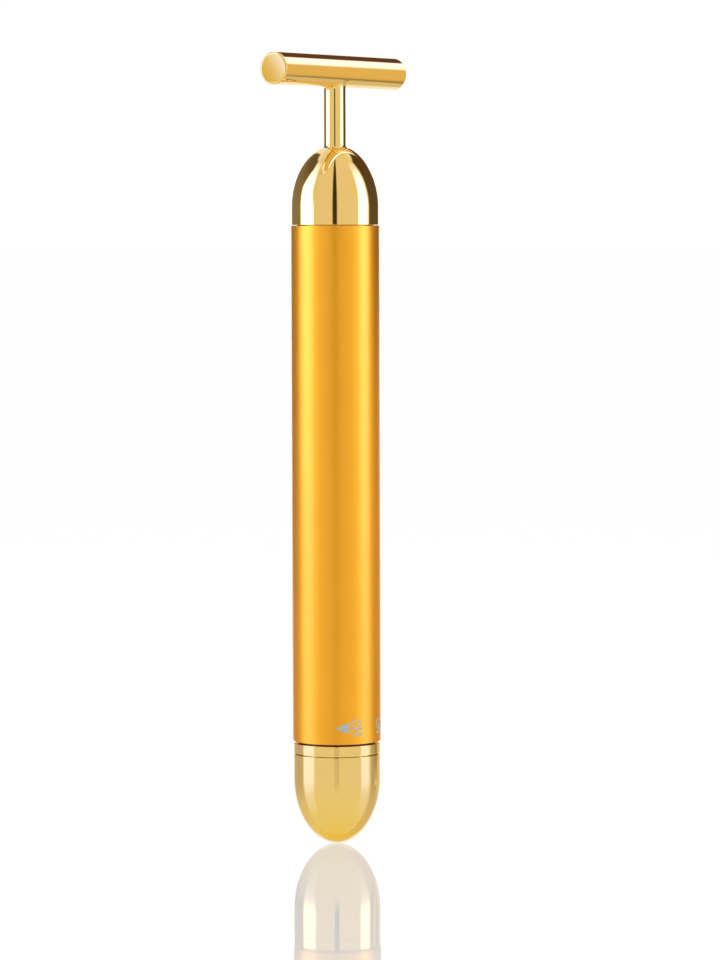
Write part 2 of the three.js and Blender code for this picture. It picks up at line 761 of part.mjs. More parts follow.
// Motor cage: a ribbed, windowed moulding. The motor drops into its flat-sided pocket and is
// held by two hooked fingers; below the ledge a skirt stands it off the contact carrier.
function motorCage() {
  const bottom = carrierThickness;
  const top = carrierThickness + cageHeight;
  const base = cageRadius - cageRib;
  let cage = solid(pin(base, bottom, top, sidesLarge));
  cage = cage.add(solid(pin(cageRadius, bottom, bottom + cageRimHeight, sidesLarge)));
  cage = cage.add(solid(pin(cageRadius, top - cageRimHeight, top, sidesLarge)));
  const half = cageRibWidth / 2;
  const rib = solid(block(0, -half, bottom, cageRadius - cageRibInset, half, top));
  for (let i = 0; i < cageRibCount; i++) {
    const turn = (360 / cageRibCount) * (i + 0.5);
    cage = cage.add(rib.rotate([0, 0, turn]));
  }
  // motor pocket, ledge hole and skirt
  const skirtTop = ledgeTop - cageLedge;
  cage = cage.subtract(solid(raised(motorSection(cagePocketGap), ledgeTop, top + overcut)));
  cage = cage.subtract(solid(pin(cageLedgeHole, bottom - overcut, ledgeTop + overcut, sidesMedium)));
  cage = cage.subtract(solid(pin(skirtBore, bottom - overcut, skirtTop, sidesMedium)));
  // windows through both X sides, beside the leads and beside the can. Each keeps a full
  // margin to the rim and half of one to the ledge, where its wall is tall enough for them.
  const out = cageRadius + overcut;
  const w = cageWindowWidth / 2;
  const margin = (wall) => Math.min(cageWindowMargin, wall / 4);
  const lower = margin(skirtTop - bottom);
  const upper = margin(motorTop - ledgeTop);
  for (const [low, high] of [
    [bottom + lower, skirtTop - lower / 2],
    [ledgeTop + upper / 2, motorTop - upper],
  ]) {
    cage = cage.subtract(solid(block(-out, -w, low, out, w, high)));
  }
  // slots that free the fingers on both Y sides
  const f = fingerWidth / 2;
  for (const x of [-f - fingerSlot, f]) {
    const slot = block(x, -out, top - fingerLength, x + fingerSlot, out, top + overcut);
    cage = cage.subtract(solid(slot));
  }
  // hooks over the can's shoulder
  const hookOut = motorFlats / 2 + fingerHook;
  const hookIn = motorFlats / 2 - fingerHook;
  const hook = solid(block(-f, hookIn, motorTop + pressGap, f, hookOut, top));
  cage = cage.add(hook).add(hook.rotate([0, 0, 180]));
  // window for the earth clip, facing -Y
  const c = clipWidth / 2 + clipWindowMargin;
  const lintel = clipBottom + clipHeight + clipWindowHeadroom;
  cage = cage.subtract(solid(block(-c, -out, clipSill, c, 0, lintel)));
  return geometryOf(cage);
}

// Earth clip: a springy strip bent like a J. Its short leg stands inside the cage, where the
// black lead is soldered, a round foot turns under the skirt, and its long arm bows out to the
// tube's bore along a parabola. In its outline x is the distance towards -Y, and y the height.
function groundClip() {
  const foot = (clipBow - clipBulge - clipLeg) / 2;
  const armRise = clipBowHeight - foot;
  const armSteps = 6;
  const line = [[clipLeg, clipLegHeight], ...arc(clipLeg + foot, foot, foot, foot, 180, 360, 6)];
  for (let i = 1; i <= armSteps; i++) {
    const h = foot + ((clipHeight - foot) * i) / armSteps;
    line.push([clipBow - clipBulge * ((h - clipBowHeight) / armRise) ** 2, h]);
  }
  const points = line.map(([x, y]) => new THREE.Vector2(x, y + clipBottom));
  const half = clipThickness / 2;
  const beside = (side) => points.map((p, i) => {
    const before = points[Math.max(i - 1, 0)];
    const after = points[Math.min(i + 1, points.length - 1)];
    const along = after.clone().sub(before).normalize();
    return new THREE.Vector2(p.x - side * half * along.y, p.y + side * half * along.x);
  });
  const outline = new THREE.Shape([...beside(1), ...beside(-1).reverse()]);
  const strip = raised(outline, -clipWidth / 2, clipWidth / 2);
  return strip.rotateX(Math.PI / 2).rotateZ(-Math.PI / 2);
}

// A lead that leaves its start and meets its end straight upwards. Between those two stubs it
// passes points chosen by hand, each given as x, y and its share of the height between the stubs.
function lead(start, end, bends) {
  const low = start.clone().add(new THREE.Vector3(0, 0, leadStub));
  const high = end.clone().sub(new THREE.Vector3(0, 0, leadStub));
  const between = bends.map(([x, y, share]) => new THREE.Vector3(x, y, low.z + share * (high.z - low.z)));
  return wire(new THREE.CatmullRomCurve3([start, low, ...between, high, end]), leadDiameter, 8, 10);
}

// Contact carrier, positive contact, motor cage, earth clip and the two leads.
// Height zero is the carrier's underside.
function addDrive(parent) {
  const drive = subAssembly(parent, carrierBottom);
  const hole = rivetDiameter / 2 + pressGap;
  addPiece(drive, "contact_carrier", turnedRing([
    [hole, 0],
    [guardInnerRadius, 0],
    [guardInnerRadius, -guardHeight],
    [guardOuterRadius, -guardHeight],
    [guardOuterRadius, 0],
    [cageRadius, 0],
    [cageRadius, carrierThickness],
    [carrierBossRadius + carrierBossDraft, carrierThickness],
    [carrierBossRadius, carrierThickness + carrierBossHeight],
    [hole, carrierThickness + carrierBossHeight],
  ], sidesMedium), whiteNylon);
  const rivetTop = carrierThickness + carrierBossHeight + rivetRise;
  const dimpleBottom = -contactThickness - contactDimple;
  addPiece(drive, "positive_contact", turned([
    [0, dimpleBottom],
    [contactDimpleRadius, dimpleBottom],
    [contactDimpleRadius + contactDimpleSlope, -contactThickness],
    [contactFlangeRadius, -contactThickness],
    [contactFlangeRadius, 0],
    [rivetDiameter / 2, 0],
    [rivetDiameter / 2, rivetTop],
    [0, rivetTop],
  ], sidesSmall), brass);
  addPiece(drive, "motor_cage", motorCage(), whiteNylon);
  addPiece(drive, "ground_clip", groundClip(), brass);
  addMotor(drive);

  const leadTop = motorBottom - bellHeight - brushTailDrop - solderGap;
  const brushMiddle = brushFace + brushThickness / 2;
  const rivetEnd = new THREE.Vector3(0, 0, rivetTop + solderGap);
  const clipEnd = new THREE.Vector3(0, -clipLeg, clipBottom + clipLegHeight + solderGap);
  const positiveEnd = new THREE.Vector3(brushTailX, brushMiddle, leadTop);
  const negativeEnd = new THREE.Vector3(brushTailX, -brushMiddle, leadTop);
  const positiveBends = [[1.0, 0.3, 0.25], [3.0, 1.0, 0.68]];
  const negativeBends = [[1.4, -4.2, 0.35], [3.2, -2.7, 0.7]];
  addPiece(drive, "lead_positive", lead(rivetEnd, positiveEnd, positiveBends), redWire);
  addPiece(drive, "lead_negative", lead(clipEnd, negativeEnd, negativeBends), blackWire);
}

// Head: dome, its O-ring, the T head and the nut and washer that clamp it
function addHead(parent) {
  const head = subAssembly(parent, headBottom);
  addPiece(head, "head_dome", headDome(), polishedGold);
  addPiece(head, "dome_o_ring", oRing(spigotRadius - ringGrooveDepth, spigotRing), blackRubber);
  addPiece(head, "t_head", tHead(), polishedGold);
  const washerHole = studDiameter / 2 + pressGap;
  const washerBottom = domeRoof - washerThickness;
  const washer = bush(washerHole, washerDiameter / 2, washerBottom, domeRoof, sidesMedium);
  addPiece(head, "head_washer", washer, steel);
  addPiece(head, "head_nut", domeNut(), steel);
}

// End cap with what turns with it, and the spring and plate that only travel with it
function addCap(parent) {
  const cap = subAssembly(parent, 0);
  addPiece(cap, "end_cap", endCap(), polishedGold);
  addPiece(cap, "cap_collar", capCollar(), polishedGold);
  addPiece(cap, "cap_plug", capPlug(), blackPlastic);
  addPiece(cap, "cap_o_ring", oRing(plugRadius - ringGrooveDepth, capRingMiddle), blackRubber);
  addPiece(cap, "contact_strap", contactStrap(), brass);
  const plateRadius = plugWell - plateRim;
  const plateBottom = wellFloor + pressGap / 2;
  const plate = pin(plateRadius, plateBottom, plateBottom + plateThickness, sidesMedium);
  addPiece(cap, "spring_plate", plate, brass);
  addPiece(cap, "contact_spring", contactSpring(), steel);
}

const massager = new THREE.Group();
const upright = subAssembly(massager, -gripMiddle);
addHead(upright);
addPiece(subAssembly(upright, tubeBottom), "body_tube", bodyTube(), satinGold);
addDrive(upright);
addCell(upright);
addCap(upright);

export default massager;
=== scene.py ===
import math

import bmesh
import bpy
import numpy as np
from mathutils import Matrix, Vector


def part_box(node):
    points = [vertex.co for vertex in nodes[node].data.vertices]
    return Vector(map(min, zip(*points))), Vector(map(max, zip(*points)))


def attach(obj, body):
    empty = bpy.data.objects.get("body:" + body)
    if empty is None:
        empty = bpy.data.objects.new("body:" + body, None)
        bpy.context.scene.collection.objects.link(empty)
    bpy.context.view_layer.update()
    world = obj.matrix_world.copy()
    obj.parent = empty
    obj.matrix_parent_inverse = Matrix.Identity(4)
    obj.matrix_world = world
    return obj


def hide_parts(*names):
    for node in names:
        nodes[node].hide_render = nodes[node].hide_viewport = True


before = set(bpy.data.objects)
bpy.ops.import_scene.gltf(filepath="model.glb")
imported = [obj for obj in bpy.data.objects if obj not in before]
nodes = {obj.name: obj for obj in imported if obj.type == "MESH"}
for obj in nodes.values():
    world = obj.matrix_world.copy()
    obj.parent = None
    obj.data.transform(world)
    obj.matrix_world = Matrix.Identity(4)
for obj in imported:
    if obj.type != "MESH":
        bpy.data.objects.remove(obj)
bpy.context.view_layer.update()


# Sizes in millimetres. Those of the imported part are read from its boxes.
def box_mm(node):
    """Lowest and highest corner of a CAD node, in millimetres."""
    lo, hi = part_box(node)
    return np.array(lo) * 1000, np.array(hi) * 1000


(_, _, TUBE_BOTTOM), (TUBE_R, _, TUBE_TOP) = box_mm("body_tube")
(_, _, SPIGOT_END), (FACE_R, _, DOME_SEAT) = box_mm("head_dome")
(_, _, STUD_END), (BAR_HALF, BAR_R, BAR_TOP) = box_mm("t_head")
(_, _, TIP), (_, _, SHELL_TOP) = box_mm("end_cap")
(_, _, LIP_BOTTOM), (_, _, COLLAR_TOP) = box_mm("cap_collar")
(_, _, PLUG_BOTTOM), (PLUG_SEAT_R, _, PLUG_TOP) = box_mm("cap_plug")
(_, _, CAP_RING_LOW), (_, _, CAP_RING_HIGH) = box_mm("cap_o_ring")
(_, _, DOME_RING_LOW), (_, _, DOME_RING_HIGH) = box_mm("dome_o_ring")
(_, _, SPRING_LOW), (_, _, SPRING_HIGH) = box_mm("contact_spring")
(_, _, CELL_LOW), (_, _, CELL_HIGH) = box_mm("cell_can")
(_, _, SLEEVE_LOW), (SLEEVE_R, _, SLEEVE_HIGH) = box_mm("cell_sleeve")

TUBE_WALL = 1.0
TUBE_CHAMFER = 0.08
TUBE_SOFT = 0.04  # rounding of the chamfer's corners
BORE_R = TUBE_R - TUBE_WALL
DOME_SEAM = 0.12
DOME_STRAIGHT = 3.45
DOME_RISE = 11.95
DOME_SEAT_R = 3.0
DOME_ROOF = 3.5
DOME_CROWN_R = 3.9  # flat of the roof inside
SPIGOT_R = BORE_R - 0.1
SPIGOT_WALL = 1.5
STUD_R = 1.5
STUD_CLEAR = 0.1
STUD_CHAMFER = 0.3
NECK_R = 2.1
NECK_FOOT = 0.75
NECK_ROUND = 4.6  # below the bar's axis, where the saddle's blend has long become round
SADDLE = 0.65
BAR_EDGE = 0.4
BAR_DISH = 1.5  # slope of the dished end face at its rim, in degrees
BAR_AXIS = BAR_TOP - BAR_R
BAR_MIDDLE = 6.0  # half of the middle stretch, which carries the neck
BAR_AROUND, BAR_ALONG = 96, 56  # faces half round the bar, and along its middle
CAP_CURVE = 12.8
CAP_WALL = 0.9
CAP_TIP_WALL = 1.1
CAP_GROOVE = 0.15
CAP_LIP_INSET = 0.3
COLLAR_CLEAR = 0.1
EDGE = 0.06
PLUG_R = BORE_R - 0.2
PLUG_WALL = 1.8
PLUG_FLOOR = 1.4
WELL_DEPTH = 0.65  # floor of the spring's well, below the collar's top
RING_WIRE = 0.9
RING_GROOVE = (1.0, 1.2)  # depth and width
RING_SEAT = 0.05  # between an O-ring and the bottom of its groove
THREAD_PITCH = 1.0
THREAD_ROWS = 90
BORE_THREAD = (1.7, 7.6)  # its run above the tube's lower end
BORE_THREAD_DEPTH = 0.25
PLUG_THREAD_ROOT = 0.25
PLUG_THREAD_DEPTH = 0.37
SPRING_WIRE = 0.6
SPRING_RADII = (4.3, 2.7)
SPRING_TURNS = 6
CAN_INSET = 0.19  # the can's wall inside the sleeve's outside
CRIMP_WALL, CRIMP_DEPTH = 0.5, 0.45
NUB_R, NUB_HEIGHT = 2.7, 1.2
FILM = 0.16
LEAD_R = 0.45
LEAD_STUB = 0.9
SOLDER = 0.3  # between a lead's end and its terminal
CLIP_SHEET, CLIP_LEG = 0.25, 3.0
BRUSH_TAIL_HALF = 0.5

# Sides of a turned piece: large and plain, with a thread, small
SIDES, SIDES_THREAD, SIDES_SMALL = 256, 288, 192

# The photograph's viewpoint, in the row frame
CAMERA_AZIMUTH = math.radians(-54.5)
CAMERA_DISTANCE = 0.8  # metres, as the height
CAMERA_HEIGHT = 0.04753
CAMERA_PITCH = math.radians(3.35)
CAMERA_ROLL = math.radians(-0.168)
CAMERA_YAW = 0.0058  # radians
CAMERA_LENS = 155.35


# Profiles: runs of (radius, height) points in millimetres
def arc(r0, z0, rr, rz, start, end, steps):
    """Points on an ellipse about (r0, z0): r0 + rr cos a, z0 + rz sin a, a from start to end degrees."""
    a = np.radians(np.linspace(start, end, steps + 1))
    return np.stack([r0 + rr * np.cos(a), z0 + rz * np.sin(a)], axis=1)


def rounded(corners, closed=False, steps=5):
    """A profile through corners (radius, height, rounding), each rounded by a circular fillet."""
    points = []
    for i, (r, z, rounding) in enumerate(corners):
        here = np.array([r, z])
        if rounding == 0 or (not closed and i in (0, len(corners) - 1)):
            points.append(here[None])
            continue
        back = np.array(corners[i - 1][:2]) - here
        on = np.array(corners[(i + 1) % len(corners)][:2]) - here
        back, on = back / np.linalg.norm(back), on / np.linalg.norm(on)
        half = math.acos(float(back @ on)) / 2
        middle = (back + on) / np.linalg.norm(back + on)
        centre = here + middle * rounding / math.sin(half)
        reach = rounding / math.tan(half)
        u, v = here + back * reach - centre, here + on * reach - centre
        turn = math.pi - 2 * half
        t = np.linspace(0, 1, steps + 1)[:, None]
        points.append(centre + (np.sin((1 - t) * turn) * u + np.sin(t * turn) * v) / math.sin(turn))
    joined = np.concatenate(points)
    return np.concatenate([joined, joined[:1]]) if closed else joined


def supported(points, near=0.12):
    """The same profile with a point near both ends of each long run, so shading stays at the edges."""
    out = [points[:1]]
    for p, q in zip(points[:-1], points[1:]):
        length = np.linalg.norm(q - p)
        if length > 6 * near:
            shares = np.array([near, 2.5 * near, length - 2.5 * near, length - near]) / length
            out.append(p + (q - p) * shares[:, None])
        out.append(q[None])
    return np.concatenate(out)


def revolve(points, sides=SIDES):
    """Grid of (r cos a, r sin a, z) for each profile point, a once round +Z."""
    a = np.linspace(0, 2 * np.pi, sides, endpoint=False)
    r, z = points[:, :1], points[:, 1:]
    return np.stack([r * np.cos(a), r * np.sin(a), z + 0 * a], axis=2)


def thread(grid, low, high, depth, root=0.36, flank=0.2, runout=0.8):
    """The grid pushed outwards by a right-hand trapezoid thread, crest where z / pitch - a / 2 pi is
    a whole number and a half. The root's half width and the flank are shares of the pitch. It fades
    over the runout at both ends of the run from low to high."""
    x, y, z = grid[..., 0], grid[..., 1], grid[..., 2]
    phase = (z / THREAD_PITCH - np.arctan2(y, x) / (2 * np.pi)) % 1 - 0.5
    crest = np.clip((root - np.abs(phase)) / flank, 0, 1)
    fade = np.clip((z - low) / runout, 0, 1) * np.clip((high - z) / runout, 0, 1)
    grow = 1 + depth * crest * fade / np.hypot(x, y)
    return np.stack([x * grow, y * grow, z], axis=2)


def tube_along(path, radius, sides=12):
    """Grid round a path (n, 3): path + radius (cos b N + sin b B), with a pole at both ends."""
    along = np.gradient(path, axis=0)
    along /= np.linalg.norm(along, axis=1, keepdims=True)
    side = np.cross(along, [0.0, 0.0, 1.0])
    weak = np.linalg.norm(side, axis=1) < 0.2
    side[weak] = np.cross(along[weak], [0.0, 1.0, 0.0])
    side /= np.linalg.norm(side, axis=1, keepdims=True)
    up = np.cross(side, along)
    b = np.linspace(0, 2 * np.pi, sides, endpoint=False)[None, :, None]
    ring = path[:, None] + radius * (np.cos(b) * side[:, None] + np.sin(b) * up[:, None])
    ends = [np.repeat(p[None, None], sides, axis=1) for p in (path[0], path[-1])]
    return np.concatenate([ends[0], ring, ends[1]])


def torus(radius, wire, middle):
    """Grid of an O-ring: a circle of the wire's size turned about +Z."""
    return revolve(arc(radius, middle, wire / 2, wire / 2, 0, 360, 32), SIDES_SMALL)


# Meshes and pieces
def mesh_of(name, grids, sharp=28):
    """One mesh from grids of points in mm. Rows are open, columns close round unless the grid comes
    as (grid, False). Doubles are merged, normals face outwards, edges over sharp degrees stay hard."""
    points, faces, base = [], [], 0
    for grid in grids:
        grid, wraps = grid if isinstance(grid, tuple) else (grid, True)
        rows, columns = grid.shape[:2]
        index = base + np.arange(rows * columns).reshape(rows, columns)
        if wraps:
            index = np.hstack([index, index[:, :1]])
        corners = [index[:-1, :-1], index[1:, :-1], index[1:, 1:], index[:-1, 1:]]
        faces.append(np.stack(corners, axis=-1).reshape(-1, 4))
        points.append(grid.reshape(-1, 3) / 1000)
        base += rows * columns
    mesh = bpy.data.meshes.new(name)
    mesh.from_pydata(np.concatenate(points).tolist(), [], np.concatenate(faces).tolist())
    return tidy(mesh, sharp)


def tidy(mesh, sharp=28):
    """Doubles merged, empty faces dissolved, normals outwards, smooth with hard edges kept."""
    bm = bmesh.new()
    bm.from_mesh(mesh)
    bmesh.ops.remove_doubles(bm, verts=bm.verts, dist=1e-7)
    bmesh.ops.dissolve_degenerate(bm, edges=bm.edges, dist=1e-8)
    bmesh.ops.recalc_face_normals(bm, faces=bm.faces)
    bm.to_mesh(mesh)
    bm.free()
    mesh.polygons.foreach_set("use_smooth", [True] * len(mesh.polygons))
    mesh.set_sharp_from_angle(angle=math.radians(sharp))
    return mesh


def piece(name, mesh, body, material, replaces=()):
    """A finished piece: linked, given its material, riding on its body, standing for CAD nodes."""
    made = bpy.data.objects.new(name, mesh)
    bpy.context.scene.collection.objects.link(made)
    mesh.materials.append(material)
    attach(made, body)
    if replaces:
        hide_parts(*replaces)
    return made


# Materials
def rgb(code):
    """A colour from its sRGB hex code, turned linear."""
    values = [int(code[i:i + 2], 16) / 255 for i in (1, 3, 5)]
    linear = [v / 12.92 if v <= 0.04045 else ((v + 0.055) / 1.055) ** 2.4 for v in values]
    return (*linear, 1.0)


def per_mm(size):
    """The scale that gives a pattern features of this size in millimetres."""
    return 1000 / size


def add(tree, kind, inputs=(), **settings):
    """Adds a shader node, sets its settings, and sets or links its inputs."""
    node = tree.nodes.new("ShaderNode" + kind)
    for name, value in settings.items():
        setattr(node, name, value)
    for name, value in dict(inputs).items():
        if isinstance(value, bpy.types.NodeSocket):
            tree.links.new(value, node.inputs[name])
        else:
            node.inputs[name].default_value = value
    return node


def blank(name):
    """An empty node material with its output."""
    made = bpy.data.materials.new(name)
    made.use_nodes = True
    made.node_tree.nodes.clear()
    return made, made.node_tree, add(made.node_tree, "OutputMaterial")


def math_node(tree, operation, a, b):
    """The result of one Math node."""
    return add(tree, "Math", {0: a, 1: b}, operation=operation).outputs[0]


def ramp(tree, factor, stops, interpolation="LINEAR"):
    """A colour ramp through (position, colour) stops."""
    made = add(tree, "ValToRGB", {"Fac": factor})
    made.color_ramp.interpolation = interpolation
    while len(made.color_ramp.elements) < len(stops):
        made.color_ramp.elements.new(1.0)
    for element, (position, colour) in zip(made.color_ramp.elements, stops):
        element.position = position
        element.color = colour
    return made.outputs["Color"]


def between(tree, factor, low, high):
    """A value that runs from low to high as the factor runs over the middle of a noise."""
    inputs = {"Value": factor, "From Min": 0.3, "From Max": 0.7, "To Min": low, "To Max": high}
    return add(tree, "MapRange", inputs).outputs["Result"]


def finish(name, colours, roughness, patch, grain, depth, height=None, **fixed):
    """A material whose colour and roughness run between two values over patches, with a bumped
    grain. Sizes in mm. height(tree, place) may give the bump's pattern instead of the noise, and
    fixed sets the shader's own sockets."""
    made, tree, output = blank(name)
    place = add(tree, "TexCoord").outputs["Object"]
    drift = add(tree, "TexNoise", {"Vector": place, "Scale": per_mm(patch), "Detail": 3.0})
    fine = add(tree, "TexNoise", {"Vector": place, "Scale": per_mm(grain), "Detail": 4.0})
    first, second = (rgb(c) for c in colours)
    colour = ramp(tree, drift.outputs["Fac"], [(0.35, first), (0.65, second)])
    rough = between(tree, fine.outputs["Fac"], *roughness)
    pattern = height(tree, place) if height else fine.outputs["Fac"]
    bump = add(tree, "Bump", {"Height": pattern, "Strength": 1.0, "Distance": depth / 1000})
    shader = add(tree, "BsdfPrincipled", {
        "Base Color": colour, "Roughness": rough, "Normal": bump.outputs["Normal"],
    })
    for socket, value in fixed.items():
        shader.inputs[socket.replace("_", " ")].default_value = value
    tree.links.new(shader.outputs["BSDF"], output.inputs["Surface"])
    return made


def windings(pitch, axis):
    """A bump pattern of wires laid side by side, pitch in mm, stepping along an axis."""
    def height(tree, place):
        wave = add(tree, "TexWave", {"Vector": place, "Scale": per_mm(pitch) / 20 * math.pi},
                   wave_type="BANDS", bands_direction=axis, wave_profile="SIN")
        return wave.outputs["Fac"]
    return height


# Handle: 6063 aluminium tube, bead blasted and anodised, dyed satin gold
satin_gold = finish(
    "satin_gold_anodised_aluminium", ("#FFB92C", "#FDB52A"), (0.38, 0.43), 9.0, 0.12, 0.0016,
    Metallic=1.0, Specular_Tint=rgb("#F2B870"), Coat_Weight=0.6, Coat_Roughness=0.24, Coat_IOR=1.6)
# Head, cap and collar: brass, mirror polished, bright gold plated
mirror_gold = finish(
    "polished_gold_plate", ("#F9DB9C", "#F8D999"), (0.04, 0.055), 12.0, 3.0, 0.003,
    Metallic=1.0)
# Can of the cell, nut, washer: steel, pressed, nickel plated
nickel = finish(
    "nickel_plated_steel", ("#C4C2BC", "#B8B6B0"), (0.18, 0.3), 3.0, 0.25, 0.001, Metallic=1.0)
# Motor can: steel, deep drawn, zinc plated
drawn_steel = finish(
    "drawn_zinc_plated_steel", ("#B9BCC0", "#A7AAAF"), (0.28, 0.42), 4.0, 0.3, 0.002, Metallic=1.0)
# Motor shaft: steel, ground bright
ground_steel = finish(
    "ground_steel_shaft", ("#C9CBCE", "#BFC1C4"), (0.12, 0.2), 1.0, 0.08, 0.0005, Metallic=1.0)
# Contact spring: music wire, drawn, nickel plated
spring_steel = finish(
    "nickel_plated_spring_wire", ("#C9C6BF", "#AFADA6"), (0.16, 0.3), 1.5, 0.12, 0.001, Metallic=1.0)
# Armature: silicon steel sheets, stamped and stacked
laminated = finish(
    "stacked_steel_laminations", ("#8C8E92", "#7C7E83"), (0.4, 0.55), 2.0, 0.15, 0.02,
    height=windings(0.5, "Z"), Metallic=1.0)
# Eccentric weight: tungsten alloy, pressed and sintered
sintered_weight = finish(
    "sintered_tungsten_weight", ("#85868A", "#77787C"), (0.42, 0.58), 1.5, 0.12, 0.004, Metallic=1.0)
# Contacts, earth clip, strap and plate: brass, stamped and tumbled
stamped_brass = finish(
    "stamped_brass", ("#D7B45F", "#C9A24E"), (0.22, 0.36), 2.5, 0.2, 0.0015, Metallic=1.0)
# Bearings: bronze, sintered and oiled
oiled_bronze = finish(
    "sintered_bronze", ("#B08A4E", "#8E6C3C"), (0.3, 0.5), 0.8, 0.1, 0.006, Metallic=1.0)
# Brushes and commutator: copper, stamped, bare
bare_copper = finish(
    "bare_copper", ("#C97B55", "#B56A45"), (0.25, 0.42), 1.2, 0.12, 0.001, Metallic=1.0)
# Coils: copper wire, enamelled and wound
enamelled_wire = finish(
    "enamelled_copper_winding", ("#B4622F", "#8F4620"), (0.2, 0.32), 0.8, 0.1, 0.05,
    height=windings(0.18, "Z"), Metallic=0.6, Coat_Weight=0.7, Coat_Roughness=0.15)
# Magnets: strontium ferrite, sintered
ferrite = finish(
    "sintered_ferrite", ("#3A3A3D", "#2C2C2F"), (0.6, 0.8), 1.0, 0.15, 0.004, Metallic=0.0)
# Carrier, cage and end bell: nylon 66, injection moulded, natural colour
nylon = finish(
    "moulded_natural_nylon", ("#E9E4D6", "#DDD7C6"), (0.38, 0.5), 5.0, 0.25, 0.003,
    Subsurface_Weight=0.15, Subsurface_Scale=0.0015)
# Screw plug and the cell's seal: black ABS, injection moulded
black_abs = finish(
    "moulded_black_abs", ("#232427", "#1B1C1E"), (0.3, 0.45), 4.0, 0.3, 0.003)
# O-rings: nitrile rubber, compression moulded
rubber = finish(
    "moulded_nitrile_rubber", ("#1D1D1E", "#262627"), (0.5, 0.68), 1.5, 0.1, 0.003)
# Leads: flexible PVC, extruded over stranded copper
red_pvc = finish(
    "extruded_red_pvc", ("#B3201F", "#9E1A1B"), (0.34, 0.44), 1.5, 0.2, 0.002)
black_pvc = finish(
    "extruded_black_pvc", ("#202022", "#18181A"), (0.34, 0.44), 1.5, 0.2, 0.002)
# Switch and polarity marks: epoxy ink, pad printed
ink = finish("pad_printed_pale_ink", ("#A9C4E0", "#9DB9D6"), (0.4, 0.5), 0.5, 0.08, 0.001)


def shrunk_film():
    """Cell sleeve: printed PET film, heat shrunk. Dark grey with a pale band near the nub."""
    made, tree, output = blank("shrunk_printed_film")
    place = add(tree, "TexCoord").outputs["Object"]
    fine = add(tree, "TexNoise", {"Vector": place, "Scale": per_mm(1.5), "Detail": 3.0})
    across = add(tree, "SeparateXYZ", {"Vector": place}).outputs["Z"]
    inputs = {"Value": across, "From Min": SLEEVE_LOW / 1000, "From Max": SLEEVE_HIGH / 1000}
    share = add(tree, "MapRange", inputs).outputs["Result"]
    dark, pale = rgb("#3A4149"), rgb("#C9CDD0")
    colour = ramp(tree, share, [(0.0, dark), (0.76, pale), (0.80, dark)], "CONSTANT")
    bump = add(tree, "Bump", {"Height": fine.outputs["Fac"], "Strength": 1.0, "Distance": 0.000012})
    shader = add(tree, "BsdfPrincipled", {
        "Base Color": colour, "Roughness": between(tree, fine.outputs["Fac"], 0.2, 0.32),
        "Normal": bump.outputs["Normal"], "Coat Weight": 0.3, "Coat Roughness": 0.12,
    })
    tree.links.new(shader.outputs["BSDF"], output.inputs["Surface"])
    return made


film = shrunk_film()


# Handle tube, with the female thread near its lower end
def handle_tube():
    """Profile round the wall; the bore's lower rows are pushed outwards by the thread."""
    c, soft = TUBE_CHAMFER, TUBE_SOFT
    low, high = (TUBE_BOTTOM + end for end in BORE_THREAD)
    before, beyond, upper = low - 0.1, high + 0.4, TUBE_TOP - 3
    outside = rounded([
        (BORE_R, upper, 0), (BORE_R, TUBE_TOP - c, soft), (BORE_R + c, TUBE_TOP, soft),
        (TUBE_R - c, TUBE_TOP, soft), (TUBE_R, TUBE_TOP - c, soft), (TUBE_R, TUBE_BOTTOM + c, soft),
        (TUBE_R - c, TUBE_BOTTOM, soft), (BORE_R + c, TUBE_BOTTOM, soft),
        (BORE_R, TUBE_BOTTOM + c, soft), (BORE_R, before, 0),
    ])
    heights = np.concatenate([[before], np.linspace(low, high, THREAD_ROWS), [beyond, upper]])
    bore = np.stack([BORE_R + 0 * heights, heights], axis=1)
    return mesh_of("handle_tube", [
        revolve(supported(outside), SIDES_THREAD),
        thread(revolve(bore, SIDES_THREAD), low, high, BORE_THREAD_DEPTH),
    ])


piece("handle_tube", handle_tube(), "handle", satin_gold, ["body_tube"])


# Head dome
def ring_groove(radius, middle, soft=0.08):
    """Corners of an O-ring groove in an outside wall, from below to above."""
    deep, wide = RING_GROOVE
    low, high = middle - wide / 2, middle + wide / 2
    return [(radius, low, soft), (radius - deep, low, soft), (radius - deep, high, soft),
            (radius, high, soft)]


def head_dome():
    """Spigot, shoulder, straight wall and half ellipse up to the neck's seat, hollow inside."""
    shoulder = TUBE_TOP + DOME_SEAM
    curve = shoulder + DOME_STRAIGHT
    bore = SPIGOT_R - SPIGOT_WALL
    seat = math.degrees(math.acos(DOME_SEAT_R / FACE_R))
    lower = rounded([
        (bore, curve, 0), (bore, SPIGOT_END, 0.1), (SPIGOT_R, SPIGOT_END, 0.15),
        *ring_groove(SPIGOT_R, (DOME_RING_LOW + DOME_RING_HIGH) / 2),
        (SPIGOT_R, shoulder, 0.05), (FACE_R, shoulder, EDGE), (FACE_R, curve, 0),
    ])
    outer = arc(0, curve, FACE_R, DOME_RISE, 0, seat, 120)
    hole = STUD_R + STUD_CLEAR
    roof = DOME_SEAT - DOME_ROOF
    inside = [[outer[-1, 0], DOME_SEAT], [hole, DOME_SEAT], [hole, roof], [DOME_CROWN_R, roof]]
    hollow = arc(DOME_CROWN_R, curve, bore - DOME_CROWN_R, roof - curve, 90, 0, 16)
    return mesh_of("head_dome_shell", [
        revolve(supported(lower)), revolve(outer), revolve(supported(np.array(inside))),
        revolve(hollow),
    ], sharp=22)


piece("head_dome_shell", head_dome(), "handle", mirror_gold, ["head_dome"])


# T head, one closed surface
def on_bar(x, f, r=BAR_R):
    """Points about the bar's axis along X, the angle f from straight down: (x, r sin f, z - r cos f)."""
    return np.stack([x, r * np.sin(f), BAR_AXIS - r * np.cos(f)], axis=-1)


